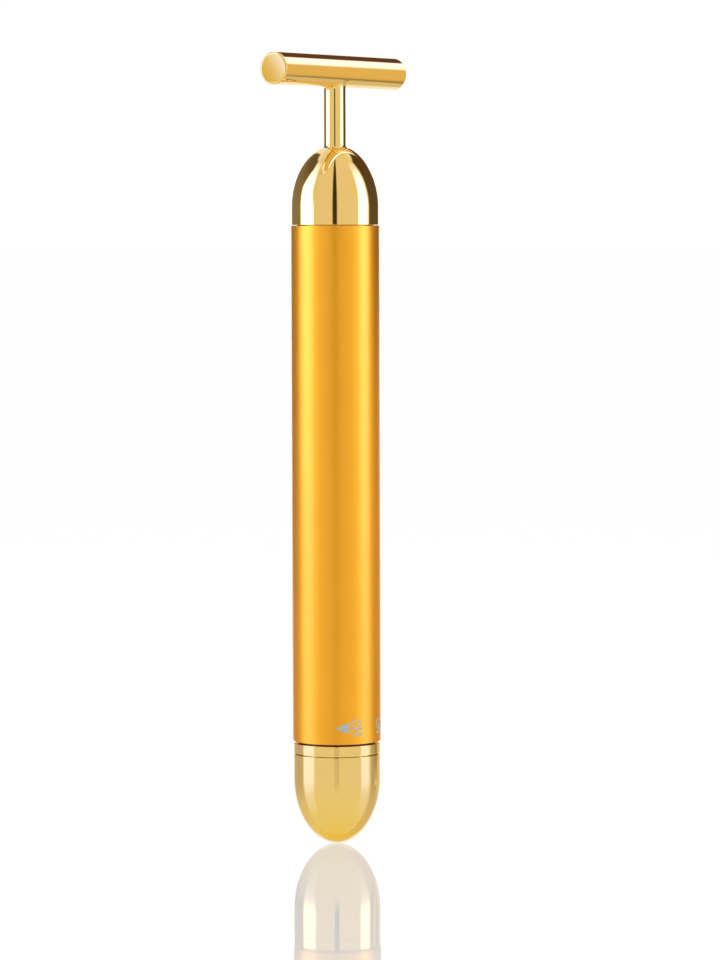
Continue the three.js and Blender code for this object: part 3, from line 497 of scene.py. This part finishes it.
def bar_end():
    """Profile (x, radius) of the bar from its middle stretch out: side, edge radius, dished face."""
    rim = -math.radians(BAR_DISH)
    inner = BAR_R - BAR_EDGE + BAR_EDGE * math.sin(rim)
    dish = inner * math.tan(-rim) / 2
    middle = BAR_HALF - BAR_EDGE
    t = (1 - np.cos(np.linspace(0, np.pi, 29))) / 2
    side = np.stack([BAR_MIDDLE + (middle - BAR_MIDDLE) * t, BAR_R + 0 * t], axis=1)
    turn = np.linspace(np.pi / 2, rim, 25)[1:]
    edge = np.stack([
        middle + BAR_EDGE * np.cos(turn), BAR_R - BAR_EDGE + BAR_EDGE * np.sin(turn)], axis=1)
    r = inner * np.linspace(1, 0, 21)[1:]
    face = middle + BAR_EDGE * math.cos(rim)
    disc = np.stack([face - dish * (1 - (r / inner) ** 2), r], axis=1)
    return np.concatenate([side, edge, disc])


def neck(a):
    """Rows down from the saddle's curve on the bar, at the angles a about +Z: a blend on a parabola,
    the straight neck, its flared foot and the stud."""
    foot = NECK_R + SADDLE

    def underside(r):
        return BAR_AXIS - np.sqrt(BAR_R ** 2 - (r * np.sin(a)) ** 2)

    slope = foot * np.sin(a) ** 2 / np.sqrt(BAR_R ** 2 - (foot * np.sin(a)) ** 2)
    p0, p1, p2 = underside(NECK_R) - SADDLE, underside(foot) - slope * SADDLE, underside(foot)
    t = np.linspace(0, 1, 17)[:, None]
    blend_r = (1 - t) ** 2 * foot + (2 * t * (1 - t) + t ** 2) * NECK_R + 0 * a
    blend_z = (1 - t) ** 2 * p2 + 2 * t * (1 - t) * p1 + t ** 2 * p0
    stem = rounded([
        (NECK_R, BAR_AXIS - NECK_ROUND, 0), (NECK_R, DOME_SEAT, NECK_FOOT),
        (NECK_R + 2, DOME_SEAT, 0),
    ], steps=16)[:-1]
    stud = np.array([
        [STUD_R, DOME_SEAT], [STUD_R, STUD_END + STUD_CHAMFER], [STUD_R - STUD_CHAMFER, STUD_END],
        [0, STUD_END],
    ])
    stem = supported(np.concatenate([stem, stud]))
    r = np.concatenate([blend_r, stem[:, :1] + 0 * a])
    z = np.concatenate([blend_z, stem[:, 1:] + 0 * a])
    return np.stack([r * np.cos(a), r * np.sin(a), z], axis=2)


def t_head():
    """Both ends of the bar, the upper half of its middle, and below it a polar patch from a square
    border in to the saddle's curve, where the neck takes over."""
    low = np.linspace(-np.pi / 2, np.pi / 2, BAR_AROUND + 1)
    high = np.linspace(np.pi / 2, 3 * np.pi / 2, BAR_AROUND + 1)
    full = np.concatenate([low[:-1], high[:-1]])
    end_x, end_r = np.hsplit(bar_end(), 2)
    ends = [on_bar(sign * end_x + 0 * full, 0 * end_x + full, end_r) for sign in (1, -1)]
    x = np.linspace(-BAR_MIDDLE, BAR_MIDDLE, BAR_ALONG + 1)
    upper = on_bar(x[:, None] + 0 * high, 0 * x[:, None] + high)
    across = 0 * low[:-1] + BAR_MIDDLE
    edge_x = np.concatenate([x[:-1], across, x[::-1][:-1], -across])
    edge_f = np.concatenate([low[0] + 0 * x[:-1], low[:-1], low[-1] + 0 * x[:-1], low[::-1][:-1]])
    a = np.arctan2(BAR_R * edge_f, edge_x)
    foot = NECK_R + SADDLE
    near_x, near_f = foot * np.cos(a), np.arcsin(foot * np.sin(a) / BAR_R)
    t = (np.linspace(0, 1, 29) ** 1.6)[:, None]
    patch = on_bar(near_x + (edge_x - near_x) * t, near_f + (edge_f - near_f) * t)
    return mesh_of("t_bar_head", [*ends, (upper, False), patch, neck(a)], sharp=32)


piece("t_bar_head", t_head(), "handle", mirror_gold, ["t_head"])


# End cap and collar
def cap_shell():
    """Half ellipse from the tip up, straight wall, rim, and the same inside at the wall's thickness."""
    curve = TIP + CAP_CURVE
    inner = FACE_R - CAP_WALL
    outside = arc(0, curve, FACE_R, CAP_CURVE, -90, 0, 140)
    rim = rounded([
        (FACE_R, curve, 0), (FACE_R, SHELL_TOP - EDGE, 0.03), (FACE_R - EDGE, SHELL_TOP, 0.03),
        (inner, SHELL_TOP, 0.05), (inner, curve, 0),
    ])
    inside = arc(0, curve, inner, CAP_CURVE - CAP_TIP_WALL, 0, -90, 40)
    return mesh_of("cap_shell", [revolve(outside), revolve(supported(rim)), revolve(inside)])


piece("cap_shell", cap_shell(), "cap", mirror_gold, ["end_cap"])

collar_inner = PLUG_R + COLLAR_CLEAR
collar_bottom = SHELL_TOP + CAP_GROOVE
lip_outer = FACE_R - CAP_LIP_INSET
collar = rounded([
    (collar_inner, LIP_BOTTOM, 0.03), (lip_outer, LIP_BOTTOM, 0.03),
    (lip_outer, collar_bottom, 0.02), (FACE_R - EDGE, collar_bottom, 0.03),
    (FACE_R, collar_bottom + EDGE, 0.03), (FACE_R, COLLAR_TOP - EDGE, 0.03),
    (FACE_R - EDGE, COLLAR_TOP, 0.03), (collar_inner, COLLAR_TOP, 0.03),
], closed=True)
piece("contact_collar", mesh_of("contact_collar", [revolve(supported(collar))]),
      "cap", mirror_gold, ["cap_collar"])


# Screw plug, with the male thread
def screw_plug():
    """Seat in the shell, O-ring groove, threaded neck, spring well and the hollow below it."""
    well, floor = PLUG_R - PLUG_WALL, COLLAR_TOP - WELL_DEPTH
    below, ceiling = well + 0.1, floor - PLUG_FLOOR
    low, high = CAP_RING_HIGH + 0.5, PLUG_TOP - 0.4
    root = PLUG_R - PLUG_THREAD_ROOT
    start = rounded([
        (0, ceiling, 0), (below, ceiling, 0.4), (below, PLUG_BOTTOM, 0.1),
        (PLUG_SEAT_R, PLUG_BOTTOM, 0.2), (PLUG_SEAT_R, SHELL_TOP, 0.1), (PLUG_R, SHELL_TOP, 0.1),
        *ring_groove(PLUG_R, (CAP_RING_LOW + CAP_RING_HIGH) / 2), (PLUG_R, low - 0.1, 0.05),
        (root, low, 0.03), (root, low + 0.05, 0),
    ])
    heights = np.linspace(low + 0.05, high, THREAD_ROWS)
    threaded = np.stack([root + 0 * heights, heights], axis=1)
    upper = rounded([
        (root, high, 0), (root, PLUG_TOP, 0.2), (well, PLUG_TOP, 0.3), (well, floor, 0.3),
        (0, floor, 0),
    ])
    return mesh_of("screw_plug", [
        revolve(supported(start), SIDES_THREAD),
        thread(revolve(threaded, SIDES_THREAD), low, high, PLUG_THREAD_DEPTH),
        revolve(supported(upper), SIDES_THREAD),
    ])


piece("screw_plug", screw_plug(), "cap", black_abs, ["cap_plug"])

for name, wall, low, high, body, node in (
    ("cap_seal_ring", PLUG_R, CAP_RING_LOW, CAP_RING_HIGH, "cap", "cap_o_ring"),
    ("dome_seal_ring", SPIGOT_R, DOME_RING_LOW, DOME_RING_HIGH, "handle", "dome_o_ring"),
):
    seated = torus(wall - RING_GROOVE[0] + RING_SEAT + RING_WIRE / 2, RING_WIRE, (low + high) / 2)
    piece(name, mesh_of(name, [seated]), body, rubber, [node])


# Contact spring
def spring():
    """Conical helix (r cos a, r sin a, z), r and z linear in the turn, each end drawn on a little."""
    t = np.linspace(0, 1, SPRING_TURNS * 40 + 1)
    a = 2 * np.pi * SPRING_TURNS * t
    r = SPRING_RADII[0] + (SPRING_RADII[1] - SPRING_RADII[0]) * t
    low, high = SPRING_LOW + SPRING_WIRE / 2, SPRING_HIGH - SPRING_WIRE / 2
    helix = np.stack([r * np.cos(a), r * np.sin(a), low + (high - low) * t], axis=1)
    return mesh_of("conical_spring", [tube_along(helix, SPRING_WIRE / 2, 16)])


piece("conical_spring", spring(), "spring", spring_steel, ["contact_spring"])


# Cell: can with its nub, and the shrunk sleeve rolled over both ends
def cell_can():
    """Crimped foot, wall, shoulder and nub of an AA cell."""
    wall = SLEEVE_R - CAN_INSET
    crimp, inside = wall - CRIMP_WALL, CELL_LOW + CRIMP_DEPTH
    shoulder = CELL_HIGH - NUB_HEIGHT
    return mesh_of("aa_cell_can", [revolve(supported(rounded([
        (0, inside, 0), (crimp, inside, 0.1), (crimp, CELL_LOW, 0.1), (wall, CELL_LOW, 0.15),
        (wall, shoulder, 0.6), (NUB_R, shoulder, 0.3), (NUB_R, CELL_HIGH, 0.35), (0, CELL_HIGH, 0),
    ])), SIDES_SMALL)])


piece("aa_cell_can", cell_can(), "cell", nickel, ["cell_can"])
sleeve_inner = SLEEVE_R - FILM
sleeve = rounded([
    (sleeve_inner, SLEEVE_LOW, 0.05), (SLEEVE_R, SLEEVE_LOW, 0.07),
    (SLEEVE_R, SLEEVE_HIGH, 0.07), (sleeve_inner, SLEEVE_HIGH, 0.05),
], closed=True)
piece("aa_cell_sleeve", mesh_of("aa_cell_sleeve", [revolve(supported(sleeve), SIDES_SMALL)]),
      "cell", film, ["cell_sleeve"])


# Leads between the contacts and the motor's brushes
def lead_path(start, end, bends):
    """Centripetal Catmull-Rom curve through both ends, a stub straight up at each, and bends given as
    x, y and the share of the height between the stubs."""
    stub = np.array([0, 0, LEAD_STUB])
    low, high = start + stub, end - stub
    middle = [np.array([x, y, low[2] + share * (high[2] - low[2])]) for x, y, share in bends]
    p = np.array([start - stub, start, low, *middle, high, end, end + stub])
    knots = np.concatenate([[0], np.cumsum(np.linalg.norm(np.diff(p, axis=0), axis=1) ** 0.5)])
    runs = []
    for i in range(1, len(p) - 2):
        t = np.linspace(knots[i], knots[i + 1], 13)[:, None]
        k = knots[i - 1:i + 3]

        def blend(a, b, at, on):
            return (a * (on - t) + b * (t - at)) / (on - at)

        a = [blend(p[i - 1 + j], p[i + j], k[j], k[j + 1]) for j in range(3)]
        b = [blend(a[j], a[j + 1], k[j], k[j + 2]) for j in range(2)]
        runs.append(blend(b[0], b[1], k[1], k[2])[(i > 1):])
    return np.concatenate(runs)


(_, _, clip_low), (_, clip_in, _) = box_mm("ground_clip")
_, (_, _, rivet_top) = box_mm("positive_contact")
for name, node, brush_node, material, slot, start, bends in (
    ("red_lead", "lead_positive", "brush_positive", red_pvc, "red_lead",
     (0, 0, rivet_top + SOLDER), [(1.0, 0.3, 0.25), (3.0, 1.0, 0.68)]),
    ("black_lead", "lead_negative", "brush_negative", black_pvc, "black_lead",
     (0, clip_in - CLIP_SHEET / 2, clip_low + CLIP_SHEET / 2 + CLIP_LEG + SOLDER),
     [(1.4, -4.2, 0.35), (3.2, -2.7, 0.7)]),
):
    lo, hi = box_mm(brush_node)
    end = np.array([hi[0] - BRUSH_TAIL_HALF, (lo[1] + hi[1]) / 2, lo[2] - SOLDER])
    path = lead_path(np.array(start), end, bends)
    piece(name, mesh_of(name, [tube_along(path, LEAD_R, 16)]), "handle", material, [node])


# Printed marks
INK_LOW, INK_HIGH = 0.004, 0.02
INK_CUTS = 12  # across each mark, so that it bends with the wall
FLAT_THICK = 0.01


def bent_on(mesh, radius, angle, height, width, tall):
    """The flat mesh laid on the cylinder: its x runs down the axis over width mm, its y round it over
    tall mm from the angle (degrees from -Y towards +X), its z from INK_LOW to INK_HIGH outwards."""
    bm = bmesh.new()
    bm.from_mesh(mesh)
    ys = [v.co.y for v in bm.verts]
    low, high = min(ys), max(ys)
    for y in np.linspace(low, high, INK_CUTS + 2)[1:-1]:
        bmesh.ops.bisect_plane(
            bm, geom=[*bm.verts, *bm.edges, *bm.faces], plane_co=(0, y, 0), plane_no=(0, 1, 0))
    bm.to_mesh(mesh)
    bm.free()
    flat = np.empty(len(mesh.vertices) * 3)
    mesh.vertices.foreach_get("co", flat)
    x, y, z = flat.reshape(-1, 3).T
    x = (x - x.min()) / np.ptp(x) * width
    y = (y - y.min()) / np.ptp(y) * tall
    z = INK_LOW + (z - z.min()) / np.ptp(z) * (INK_HIGH - INK_LOW)
    a = math.radians(angle) + y / radius
    placed = np.stack([(radius + z) * np.sin(a), -(radius + z) * np.cos(a), height - x], axis=1)
    mesh.vertices.foreach_set("co", (placed / 1000).ravel())
    return tidy(mesh, 40)


def words(name, text):
    """Lettering as a flat mesh with some thickness."""
    curve = bpy.data.curves.new(name, "FONT")
    curve.body = text
    curve.extrude = FLAT_THICK
    curve.resolution_u = 6
    holder = bpy.data.objects.new(name, curve)
    bpy.context.scene.collection.objects.link(holder)
    bpy.context.view_layer.update()
    mesh = bpy.data.meshes.new_from_object(holder)
    bpy.data.objects.remove(holder)
    bpy.data.curves.remove(curve)
    return mesh


def triangle(name, towards):
    """A flat triangle with some thickness, its point towards +Y (1) or -Y (-1)."""
    mesh = bpy.data.meshes.new(name)
    tip, back = (1, 0) if towards > 0 else (0, 1)
    corners = [(-1, back), (1, back), (0, tip)]
    points = [(x, y, z) for z in (0, FLAT_THICK) for x, y in corners]
    mesh.from_pydata(points, [], [(0, 1, 2), (3, 4, 5), (0, 1, 4, 3), (1, 2, 5, 4), (2, 0, 3, 5)])
    return mesh


# Switch marks: where each starts and how far it goes round, in degrees, the height of its upper
# side above the tube's lower end, and how far it reaches down from there
for name, mesh, start, sweep, above, width in (
    ("off_arrow", triangle("off_arrow", -1), -56, 17, 4.2, 2.0),
    ("off_word", words("off_word", "OFF"), -36, 16, 4.85, 3.3),
    ("on_word", words("on_word", "ON"), 8, 16, 4.6, 2.8),
    ("on_arrow", triangle("on_arrow", 1), 27, 18, 4.2, 2.0),
):
    tall = TUBE_R * math.radians(sweep)
    laid = bent_on(mesh, TUBE_R, start, TUBE_BOTTOM + above, width, tall)
    piece(name, laid, "handle", ink)

# Polarity marks on the cell's sleeve
for name, sign, above, width in (("plus_mark", "+", 46.0, 1.8), ("minus_mark", "-", 4.0, 0.45)):
    laid = bent_on(words(name, sign), SLEEVE_R, 0, CELL_LOW + above, width, 1.8)
    piece(name, laid, "cell", ink)

# CAD nodes whose shape stays, each with its finish
for material, names in (
    (nickel, ["head_washer", "head_nut", "cell_negative_plate"]),
    (nylon, ["contact_carrier", "motor_cage", "motor_end_bell"]),
    (stamped_brass, ["positive_contact", "ground_clip", "contact_strap", "spring_plate"]),
    (drawn_steel, ["motor_can"]),
    (oiled_bronze, ["motor_front_bearing", "motor_rear_bearing"]),
    (bare_copper, ["brush_positive", "brush_negative", "commutator"]),
    (ferrite, ["magnet_right", "magnet_left"]),
    (ground_steel, ["motor_shaft"]),
    (laminated, ["armature_core"]),
    (enamelled_wire, ["armature_coil_1", "armature_coil_2", "armature_coil_3"]),
    (sintered_weight, ["eccentric_weight"]),
    (black_abs, ["cell_seal"]),
):
    for name in names:
        nodes[name].data.materials.clear()
        nodes[name].data.materials.append(material)


# Studio
def direction(azimuth, elevation):
    """Unit vectors, azimuth in radians from the camera's side towards the image's right."""
    towards = np.array([math.sin(CAMERA_AZIMUTH), -math.cos(CAMERA_AZIMUTH), 0])
    right = np.array([math.cos(CAMERA_AZIMUTH), math.sin(CAMERA_AZIMUTH), 0])
    level = np.cos(azimuth)[..., None] * towards + np.sin(azimuth)[..., None] * right
    return np.cos(elevation)[..., None] * level + np.sin(elevation)[..., None] * np.array([0, 0, 1])


def smooth(x):
    """0 below 0, 1 above 1, and a smooth step between them."""
    x = np.clip(x, 0, 1)
    return x * x * (3 - 2 * x)


def card_material():
    """White diffuser or flag: glows in its painted colour, clear where its cover fades out."""
    made, tree, output = blank("studio_card")
    made.surface_render_method = "BLENDED"
    paint = add(tree, "Attribute", attribute_name="glow")
    glow = add(tree, "Emission", {"Color": paint.outputs["Color"], "Strength": 1.0})
    clear = add(tree, "BsdfTransparent")
    mix = add(tree, "MixShader", {0: paint.outputs["Alpha"], 1: clear.outputs[0], 2: glow.outputs[0]})
    tree.links.new(mix.outputs[0], output.inputs["Surface"])
    return made


card_finish = card_material()


def glowing(name, points, colours, cover, lights):
    """A card from grids of points in metres, their colours and cover. Only reflections show it, and
    lights=False leaves it out of the light on matt surfaces."""
    rows, columns = points.shape[:2]
    index = np.arange(rows * columns).reshape(rows, columns)
    corners = [index[:-1, :-1], index[1:, :-1], index[1:, 1:], index[:-1, 1:]]
    mesh = bpy.data.meshes.new(name)
    faces = np.stack(corners, axis=-1).reshape(-1, 4)
    mesh.from_pydata(points.reshape(-1, 3).tolist(), [], faces.tolist())
    paint = mesh.attributes.new("glow", "FLOAT_COLOR", "POINT")
    values = np.concatenate([colours, cover[..., None]], axis=-1).astype(np.float32)
    paint.data.foreach_set("color", values.ravel())
    mesh.materials.append(card_finish)
    shown = bpy.data.objects.new(name, mesh)
    bpy.context.scene.collection.objects.link(shown)
    shown.visible_camera = False
    shown.visible_diffuse = lights
    shown.visible_shadow = False
    return shown


def shades(at, stops):
    """Colours at some places, linear between stops of (place, colour)."""
    places = [place for place, _ in stops]
    return np.stack([np.interp(at, places, [c[i] for _, c in stops]) for i in range(3)], axis=-1)


def card(name, rows, stops, soft=(4, 6), radius=1.0, lights=True):
    """A card on a sphere round the object, in degrees. Its sides run through rows of (elevation,
    azimuth, azimuth). Its colour runs through stops of (elevation, colour), or of (elevation,
    colour at its first side, colour at its last). It fades out over soft degrees at its sides and
    its ends, and closes over a pole that it reaches."""
    rows = np.array(rows, dtype=float)
    u, v = np.meshgrid(np.linspace(0, 1, 61), np.linspace(0, 1, 61), indexing="ij")
    height = rows[-1, 0] - rows[0, 0]
    level = rows[0, 0] + height * v
    first, last = (np.interp(level, rows[:, 0], rows[:, i]) for i in (1, 2))
    points = radius * direction(np.radians(first + (last - first) * u), np.radians(level))
    near, far = (shades(level, [(s[0], s[i]) for s in stops]) for i in (1, -1))
    wide, tall = np.abs(last - first) / soft[0], height / soft[1]
    cover = smooth(u * wide) * smooth((1 - u) * wide)
    if rows[0, 0] > -90:
        cover = cover * smooth(v * tall)
    if rows[-1, 0] < 90:
        cover = cover * smooth((1 - v) * tall)
    return glowing(name, points, near + (far - near) * u[..., None], cover, lights)


# Light of the cards, linear and over 1 where it is bright
ORANGE_GOLD, BROWN = (0.81, 0.60, 0.225), (0.12, 0.055, 0.022)
SOFTBOX, CREAM = (2.7, 2.8, 3.1), (1.4, 1.5, 2.2)
PALE_GOLD, DEEP_GOLD = (0.87, 0.75, 0.34), (0.77, 0.63, 0.26)
DULL_GOLD, UMBER = (0.74, 0.66, 0.40), (0.38, 0.28, 0.12)

# Gold walls in front, from the zenith down under the object, and behind it under the horizon
card("front_wall", [(-90, -112, 108), (90, -112, 108)], [
    (-84, (0.875, 0.77, 0.26)), (-70, (0.875, 0.78, 0.33)), (-45, (0.86, 0.785, 0.43)),
    (-14, (0.84, 0.78, 0.52)), (4, (0.83, 0.745, 0.49), (0.88, 0.79, 0.54)),
], (12, 6), 1.10)
card("ceiling", [(52, 98, 262), (90, 98, 262)], [
    (54, (0.90, 0.86, 0.68), (0.95, 1.0, 1.0)), (66, (0.90, 0.84, 0.62)), (80, ORANGE_GOLD),
], (10, 6), 1.08)
card("rear_bowl", [(-90, 98, 262), (-42, 98, 262)], [
    (-80, (0.86, 0.72, 0.24)), (-62, (0.83, 0.66, 0.20), (0.90, 0.73, 0.21)),
    (-48, DEEP_GOLD, PALE_GOLD),
], (10, 8), 1.08, lights=False)
card("left_bowl", [(-54, -156, -98), (-4, -156, -98)], [
    (-48, PALE_GOLD), (-36, (0.81, 0.73, 0.43)), (-24, (0.75, 0.66, 0.43)), (-12, (0.57, 0.51, 0.39)),
], (8, 3), 1.06, lights=False)
card("right_bowl", [(-54, 98, 153), (-4, 98, 153)], [
    (-48, DEEP_GOLD), (-36, (0.71, 0.62, 0.34)), (-24, (0.66, 0.58, 0.40)), (-12, (0.51, 0.46, 0.34)),
], (8, 3), 1.06, lights=False)
# Softboxes on both sides, and a white backdrop low behind for the sheet
card("left_softbox", [
    (-50, -100, -66), (-12, -102, -60), (4, -105, -56), (20, -105, -62), (32, -97, -62),
    (44, -91, -64), (64, -104, -68),
], [
    (-45, (0.88, 0.83, 0.50)), (-24, (0.93, 0.92, 0.80)), (-12, (1.06, 1.12, 1.45)),
    (-6, (1.3, 1.35, 1.8)), (3, SOFTBOX), (36, SOFTBOX), (48, (1.1, 1.25, 1.7)), (62, (0.95, 1.0, 1.0)),
], (7, 12), 1.0)
card("right_softbox", [
    (-50, 66, 98), (-12, 64, 98), (4, 61, 99), (20, 63, 97), (44, 64, 96), (64, 64, 98),
], [
    (-45, (0.88, 0.82, 0.48)), (-24, (0.89, 0.87, 0.72)), (-12, (1.04, 1.08, 1.3)),
    (-6, (1.3, 1.35, 1.7)), (3, SOFTBOX), (30, SOFTBOX), (46, (1.05, 1.15, 1.3)), (62, (0.90, 0.88, 0.72)),
], (7, 12), 1.0)
card("backdrop", [(-5, 166, 194), (13, 166, 194)], [(0, (1.75, 1.75, 1.75))], (3, 3), 0.93, lights=False)
# Flags that give the polished sides their dark edges and their middle its dark line
card("left_flag", [
    (-8, -164, -101), (20, -164, -102), (32, -160, -94), (44, -150, -88), (57, -136, -96),
], [
    (-8, (0.45, 0.38, 0.27)), (1, (0.27, 0.225, 0.15)), (22, (0.23, 0.185, 0.12)),
    (40, (0.145, 0.105, 0.065)),
], (5, 4), 0.97, lights=False)
card("right_flag", [(-8, 99, 160), (20, 97, 160), (44, 96, 148), (57, 98, 138)], [
    (-8, (0.16, 0.12, 0.08)), (2, (0.12, 0.085, 0.05)), (40, (0.085, 0.055, 0.03)),
], (5, 4), 0.97, lights=False)
card("rear_flag", [(14, 142, 186), (26, 138, 186), (46, 136, 182)], [(14, BROWN)], (4, 3), 0.95,
     lights=False)
card("centre_slot", [(-27, -7, 7), (-9, -9, 8), (3, -9, 7), (90, -8, 6)], [
    (-27, (0.84, 0.78, 0.46)), (-18, (0.79, 0.73, 0.45)), (-9, (0.68, 0.62, 0.41)),
    (-5, (0.42, 0.36, 0.22)), (0, (0.11, 0.08, 0.04)), (3, (0.05, 0.035, 0.015)),
], (4, 4), 0.95, lights=False)
# Low beside the bar, near enough that the dome and the neck don't mirror them: painted reflections of
# gold with a dark umber line on the bar's lower side
card("low_strip", [(-22, 117, 137), (-14, 115, 135), (-4, 107, 127), (7, 102, 122)], [
    (-18.8, DULL_GOLD), (-17, UMBER), (-14.2, UMBER), (-11, (0.66, 0.52, 0.22)), (-5, ORANGE_GOLD),
], (3, 1.5), 0.30, lights=False)
card("low_bounce", [(-30, 126, 160), (8, 132, 160)], [(0, DULL_GOLD)], (8, 6), 0.31, lights=False)


def painted_bar_reflection(radius=5.0, near=-20, far=27, low=-18, high=65):
    """A curved card close about the bar that paints the bar's reflection, orange gold below and a cream
    highlight above: x in mm from near to far along the bar, and the angle from low to high, in degrees
    over the level of its -Y side."""
    x, turn = np.meshgrid(np.linspace(near, far, 31), np.linspace(low, high, 84), indexing="ij")
    a = np.radians(turn)
    points = np.stack([x, -radius * np.cos(a), BAR_AXIS + radius * np.sin(a)], axis=-1) / 1000
    colours = shades(turn, [(18, ORANGE_GOLD), (26, CREAM)])
    cover = smooth((x - near) / 1.5) * smooth((far - x) / 2)
    cover = cover * smooth((turn - low) / 2) * smooth((high - turn) / 8)
    return glowing("painted_bar_reflection", points, colours, cover, False)


def painted_end_reflection(away=4.0, half=3.6):
    """A small card before the bar's near end that paints the reflection in its dished face, gold at its
    lower left and white at its upper right.
    """
    middle = np.array([0.71 * away, BAR_AXIS + 0.05 * away])
    y, z = np.meshgrid(np.linspace(-half, half, 41), np.linspace(-half, half, 41), indexing="ij")
    points = np.stack([0 * y - BAR_HALF - away, middle[0] + y, middle[1] + z], axis=-1) / 1000
    slant = 0.57 - 0.52 * y / BAR_R + 0.35 * z / BAR_R
    colours = shades(slant, [
        (0, (0.72, 0.58, 0.15)), (0.35, (0.80, 0.67, 0.30)), (0.6, (0.87, 0.79, 0.60)),
        (0.8, (0.95, 0.95, 1.05)), (1, (1.0, 1.1, 1.6)),
    ])
    soft = 0.4
    cover = smooth((half - np.abs(y)) / soft) * smooth((half - np.abs(z)) / soft)
    return glowing("painted_end_reflection", points, colours, cover, False)


# Painted reflection: bands and a cream highlight along the bar
painted_bar_reflection()
# Painted reflection: gold to white across the bar's near end
painted_end_reflection()


# Floor, in metres and shares of the light
FLOOR_HEIGHT, FLOOR_HALF = -0.24, 60.0
SHEET_GAP, SHEET_HALF = 0.00002, 3.0
SHEET_FADE = (0.32, 0.14)  # from clear to fully there, away from the origin
# The second is a painted shade: the share of the floor's light that the sheet lets through near the object
SHEET_SHINE, SHEET_PAINTED_SHADE = 0.68, 0.727
PAPER_GLOW = 0.58
WORLD_LIGHT, WORLD_SHOWN = 0.45, 1.02


def stage_plane(name, half, height, material):
    """A square floor about the object, in metres."""
    mesh = bpy.data.meshes.new(name)
    corners = [(-half, -half, height), (half, -half, height), (half, half, height), (-half, half, height)]
    mesh.from_pydata(corners, [], [(0, 1, 2, 3)])
    mesh.materials.append(material)
    shown = bpy.data.objects.new(name, mesh)
    bpy.context.scene.collection.objects.link(shown)
    return shown


def seen(tree):
    """1 for camera, glossy and transmission rays, 0 for those that light matt surfaces."""
    path = add(tree, "LightPath")
    some = math_node(tree, "ADD", path.outputs["Is Camera Ray"], path.outputs["Is Glossy Ray"])
    every = math_node(tree, "ADD", some, path.outputs["Is Transmission Ray"])
    return math_node(tree, "MINIMUM", every, 1.0)


def matt_floor():
    """White matt paper. A little glow for the rays that show it keeps it white beside its shadow."""
    made, tree, output = blank("white_matt_paper")
    place = add(tree, "TexCoord").outputs["Object"]
    fine = add(tree, "TexNoise", {"Vector": place, "Scale": per_mm(2.0), "Detail": 3.0})
    colour = ramp(tree, fine.outputs["Fac"], [(0.3, rgb("#F4F4F4")), (0.7, rgb("#F6F6F6"))])
    paper = add(tree, "BsdfDiffuse", {"Color": colour})
    glow = add(tree, "Emission", {"Color": (1, 1, 1, 1)})
    tree.links.new(math_node(tree, "MULTIPLY", seen(tree), PAPER_GLOW), glow.inputs["Strength"])
    both = add(tree, "AddShader", {0: paper.outputs[0], 1: glow.outputs[0]})
    tree.links.new(both.outputs[0], output.inputs["Surface"])
    return made


def clear_sheet():
    """Clear acrylic display sheet: what it reflects grows with the angle. The rest passes through, dimmed
    near the object as a painted shade. Both fade out well away from the object."""
    made, tree, output = blank("clear_acrylic_sheet")
    place = add(tree, "TexCoord").outputs["Object"]
    fine = add(tree, "TexNoise", {"Vector": place, "Scale": per_mm(30.0), "Detail": 2.0})
    away = add(tree, "VectorMath", {0: place}, operation="LENGTH").outputs["Value"]
    fade = {"Value": away, "From Min": SHEET_FADE[0], "From Max": SHEET_FADE[1]}
    near = add(tree, "MapRange", fade).outputs["Result"]
    rough = between(tree, fine.outputs["Fac"], 0.03, 0.035)
    gloss = add(tree, "BsdfGlossy", {"Color": (1, 1, 1, 1), "Roughness": rough})
    fresnel = add(tree, "Fresnel", {"IOR": 1.45}).outputs[0]
    share = math_node(tree, "MULTIPLY", math_node(tree, "MULTIPLY", fresnel, SHEET_SHINE), near)
    # Painted shade: what passes through darkens towards the object
    painted_shade = ramp(tree, near, [(0, (1, 1, 1, 1)), (1, (SHEET_PAINTED_SHADE, SHEET_PAINTED_SHADE, SHEET_PAINTED_SHADE, 1))])
    clear = add(tree, "BsdfTransparent", {"Color": painted_shade})
    mix = add(tree, "MixShader", {0: share, 1: clear.outputs[0], 2: gloss.outputs[0]})
    tree.links.new(mix.outputs[0], output.inputs["Surface"])
    return made


floor = stage_plane("floor", FLOOR_HALF, FLOOR_HEIGHT, matt_floor())
floor.visible_glossy = False
sheet = stage_plane("display_sheet", SHEET_HALF, TIP / 1000 - SHEET_GAP, clear_sheet())
sheet.visible_diffuse = False
sheet.visible_glossy = False
sheet.visible_shadow = False

world = bpy.data.worlds.new("studio")
bpy.context.scene.world = world
world.use_nodes = True
world.node_tree.nodes.clear()
tree = world.node_tree
strength = {"Value": seen(tree), "To Min": WORLD_LIGHT, "To Max": WORLD_SHOWN}
level = add(tree, "MapRange", strength).outputs["Result"]
back = add(tree, "Background", {"Color": (1, 1, 1, 1), "Strength": level})
tree.links.new(back.outputs[0], add(tree, "OutputWorld").inputs["Surface"])


# Camera
def turned(a, b, angle):
    """Two square axes turned in their own plane, the first towards the second by the angle."""
    return a * math.cos(angle) + b * math.sin(angle), b * math.cos(angle) - a * math.sin(angle)


towards = Vector((math.sin(CAMERA_AZIMUTH), -math.cos(CAMERA_AZIMUTH), 0))
right = Vector((math.cos(CAMERA_AZIMUTH), math.sin(CAMERA_AZIMUTH), 0))
place = towards * CAMERA_DISTANCE + Vector((0, 0, CAMERA_HEIGHT))
ahead, side = turned(-towards, right, CAMERA_YAW)
head, look = turned(Vector((0, 0, 1)), ahead, CAMERA_PITCH)
across, upright = turned(side, head, CAMERA_ROLL)
camera = bpy.data.objects.new("camera", bpy.data.cameras.new("camera"))
bpy.context.scene.collection.objects.link(camera)
camera.data.lens = CAMERA_LENS
camera.matrix_world = Matrix.Translation(place) @ Matrix((across, upright, -look)).transposed().to_4x4()
bpy.context.scene.camera = camera
bpy.context.scene.view_settings.view_transform = "Standard"
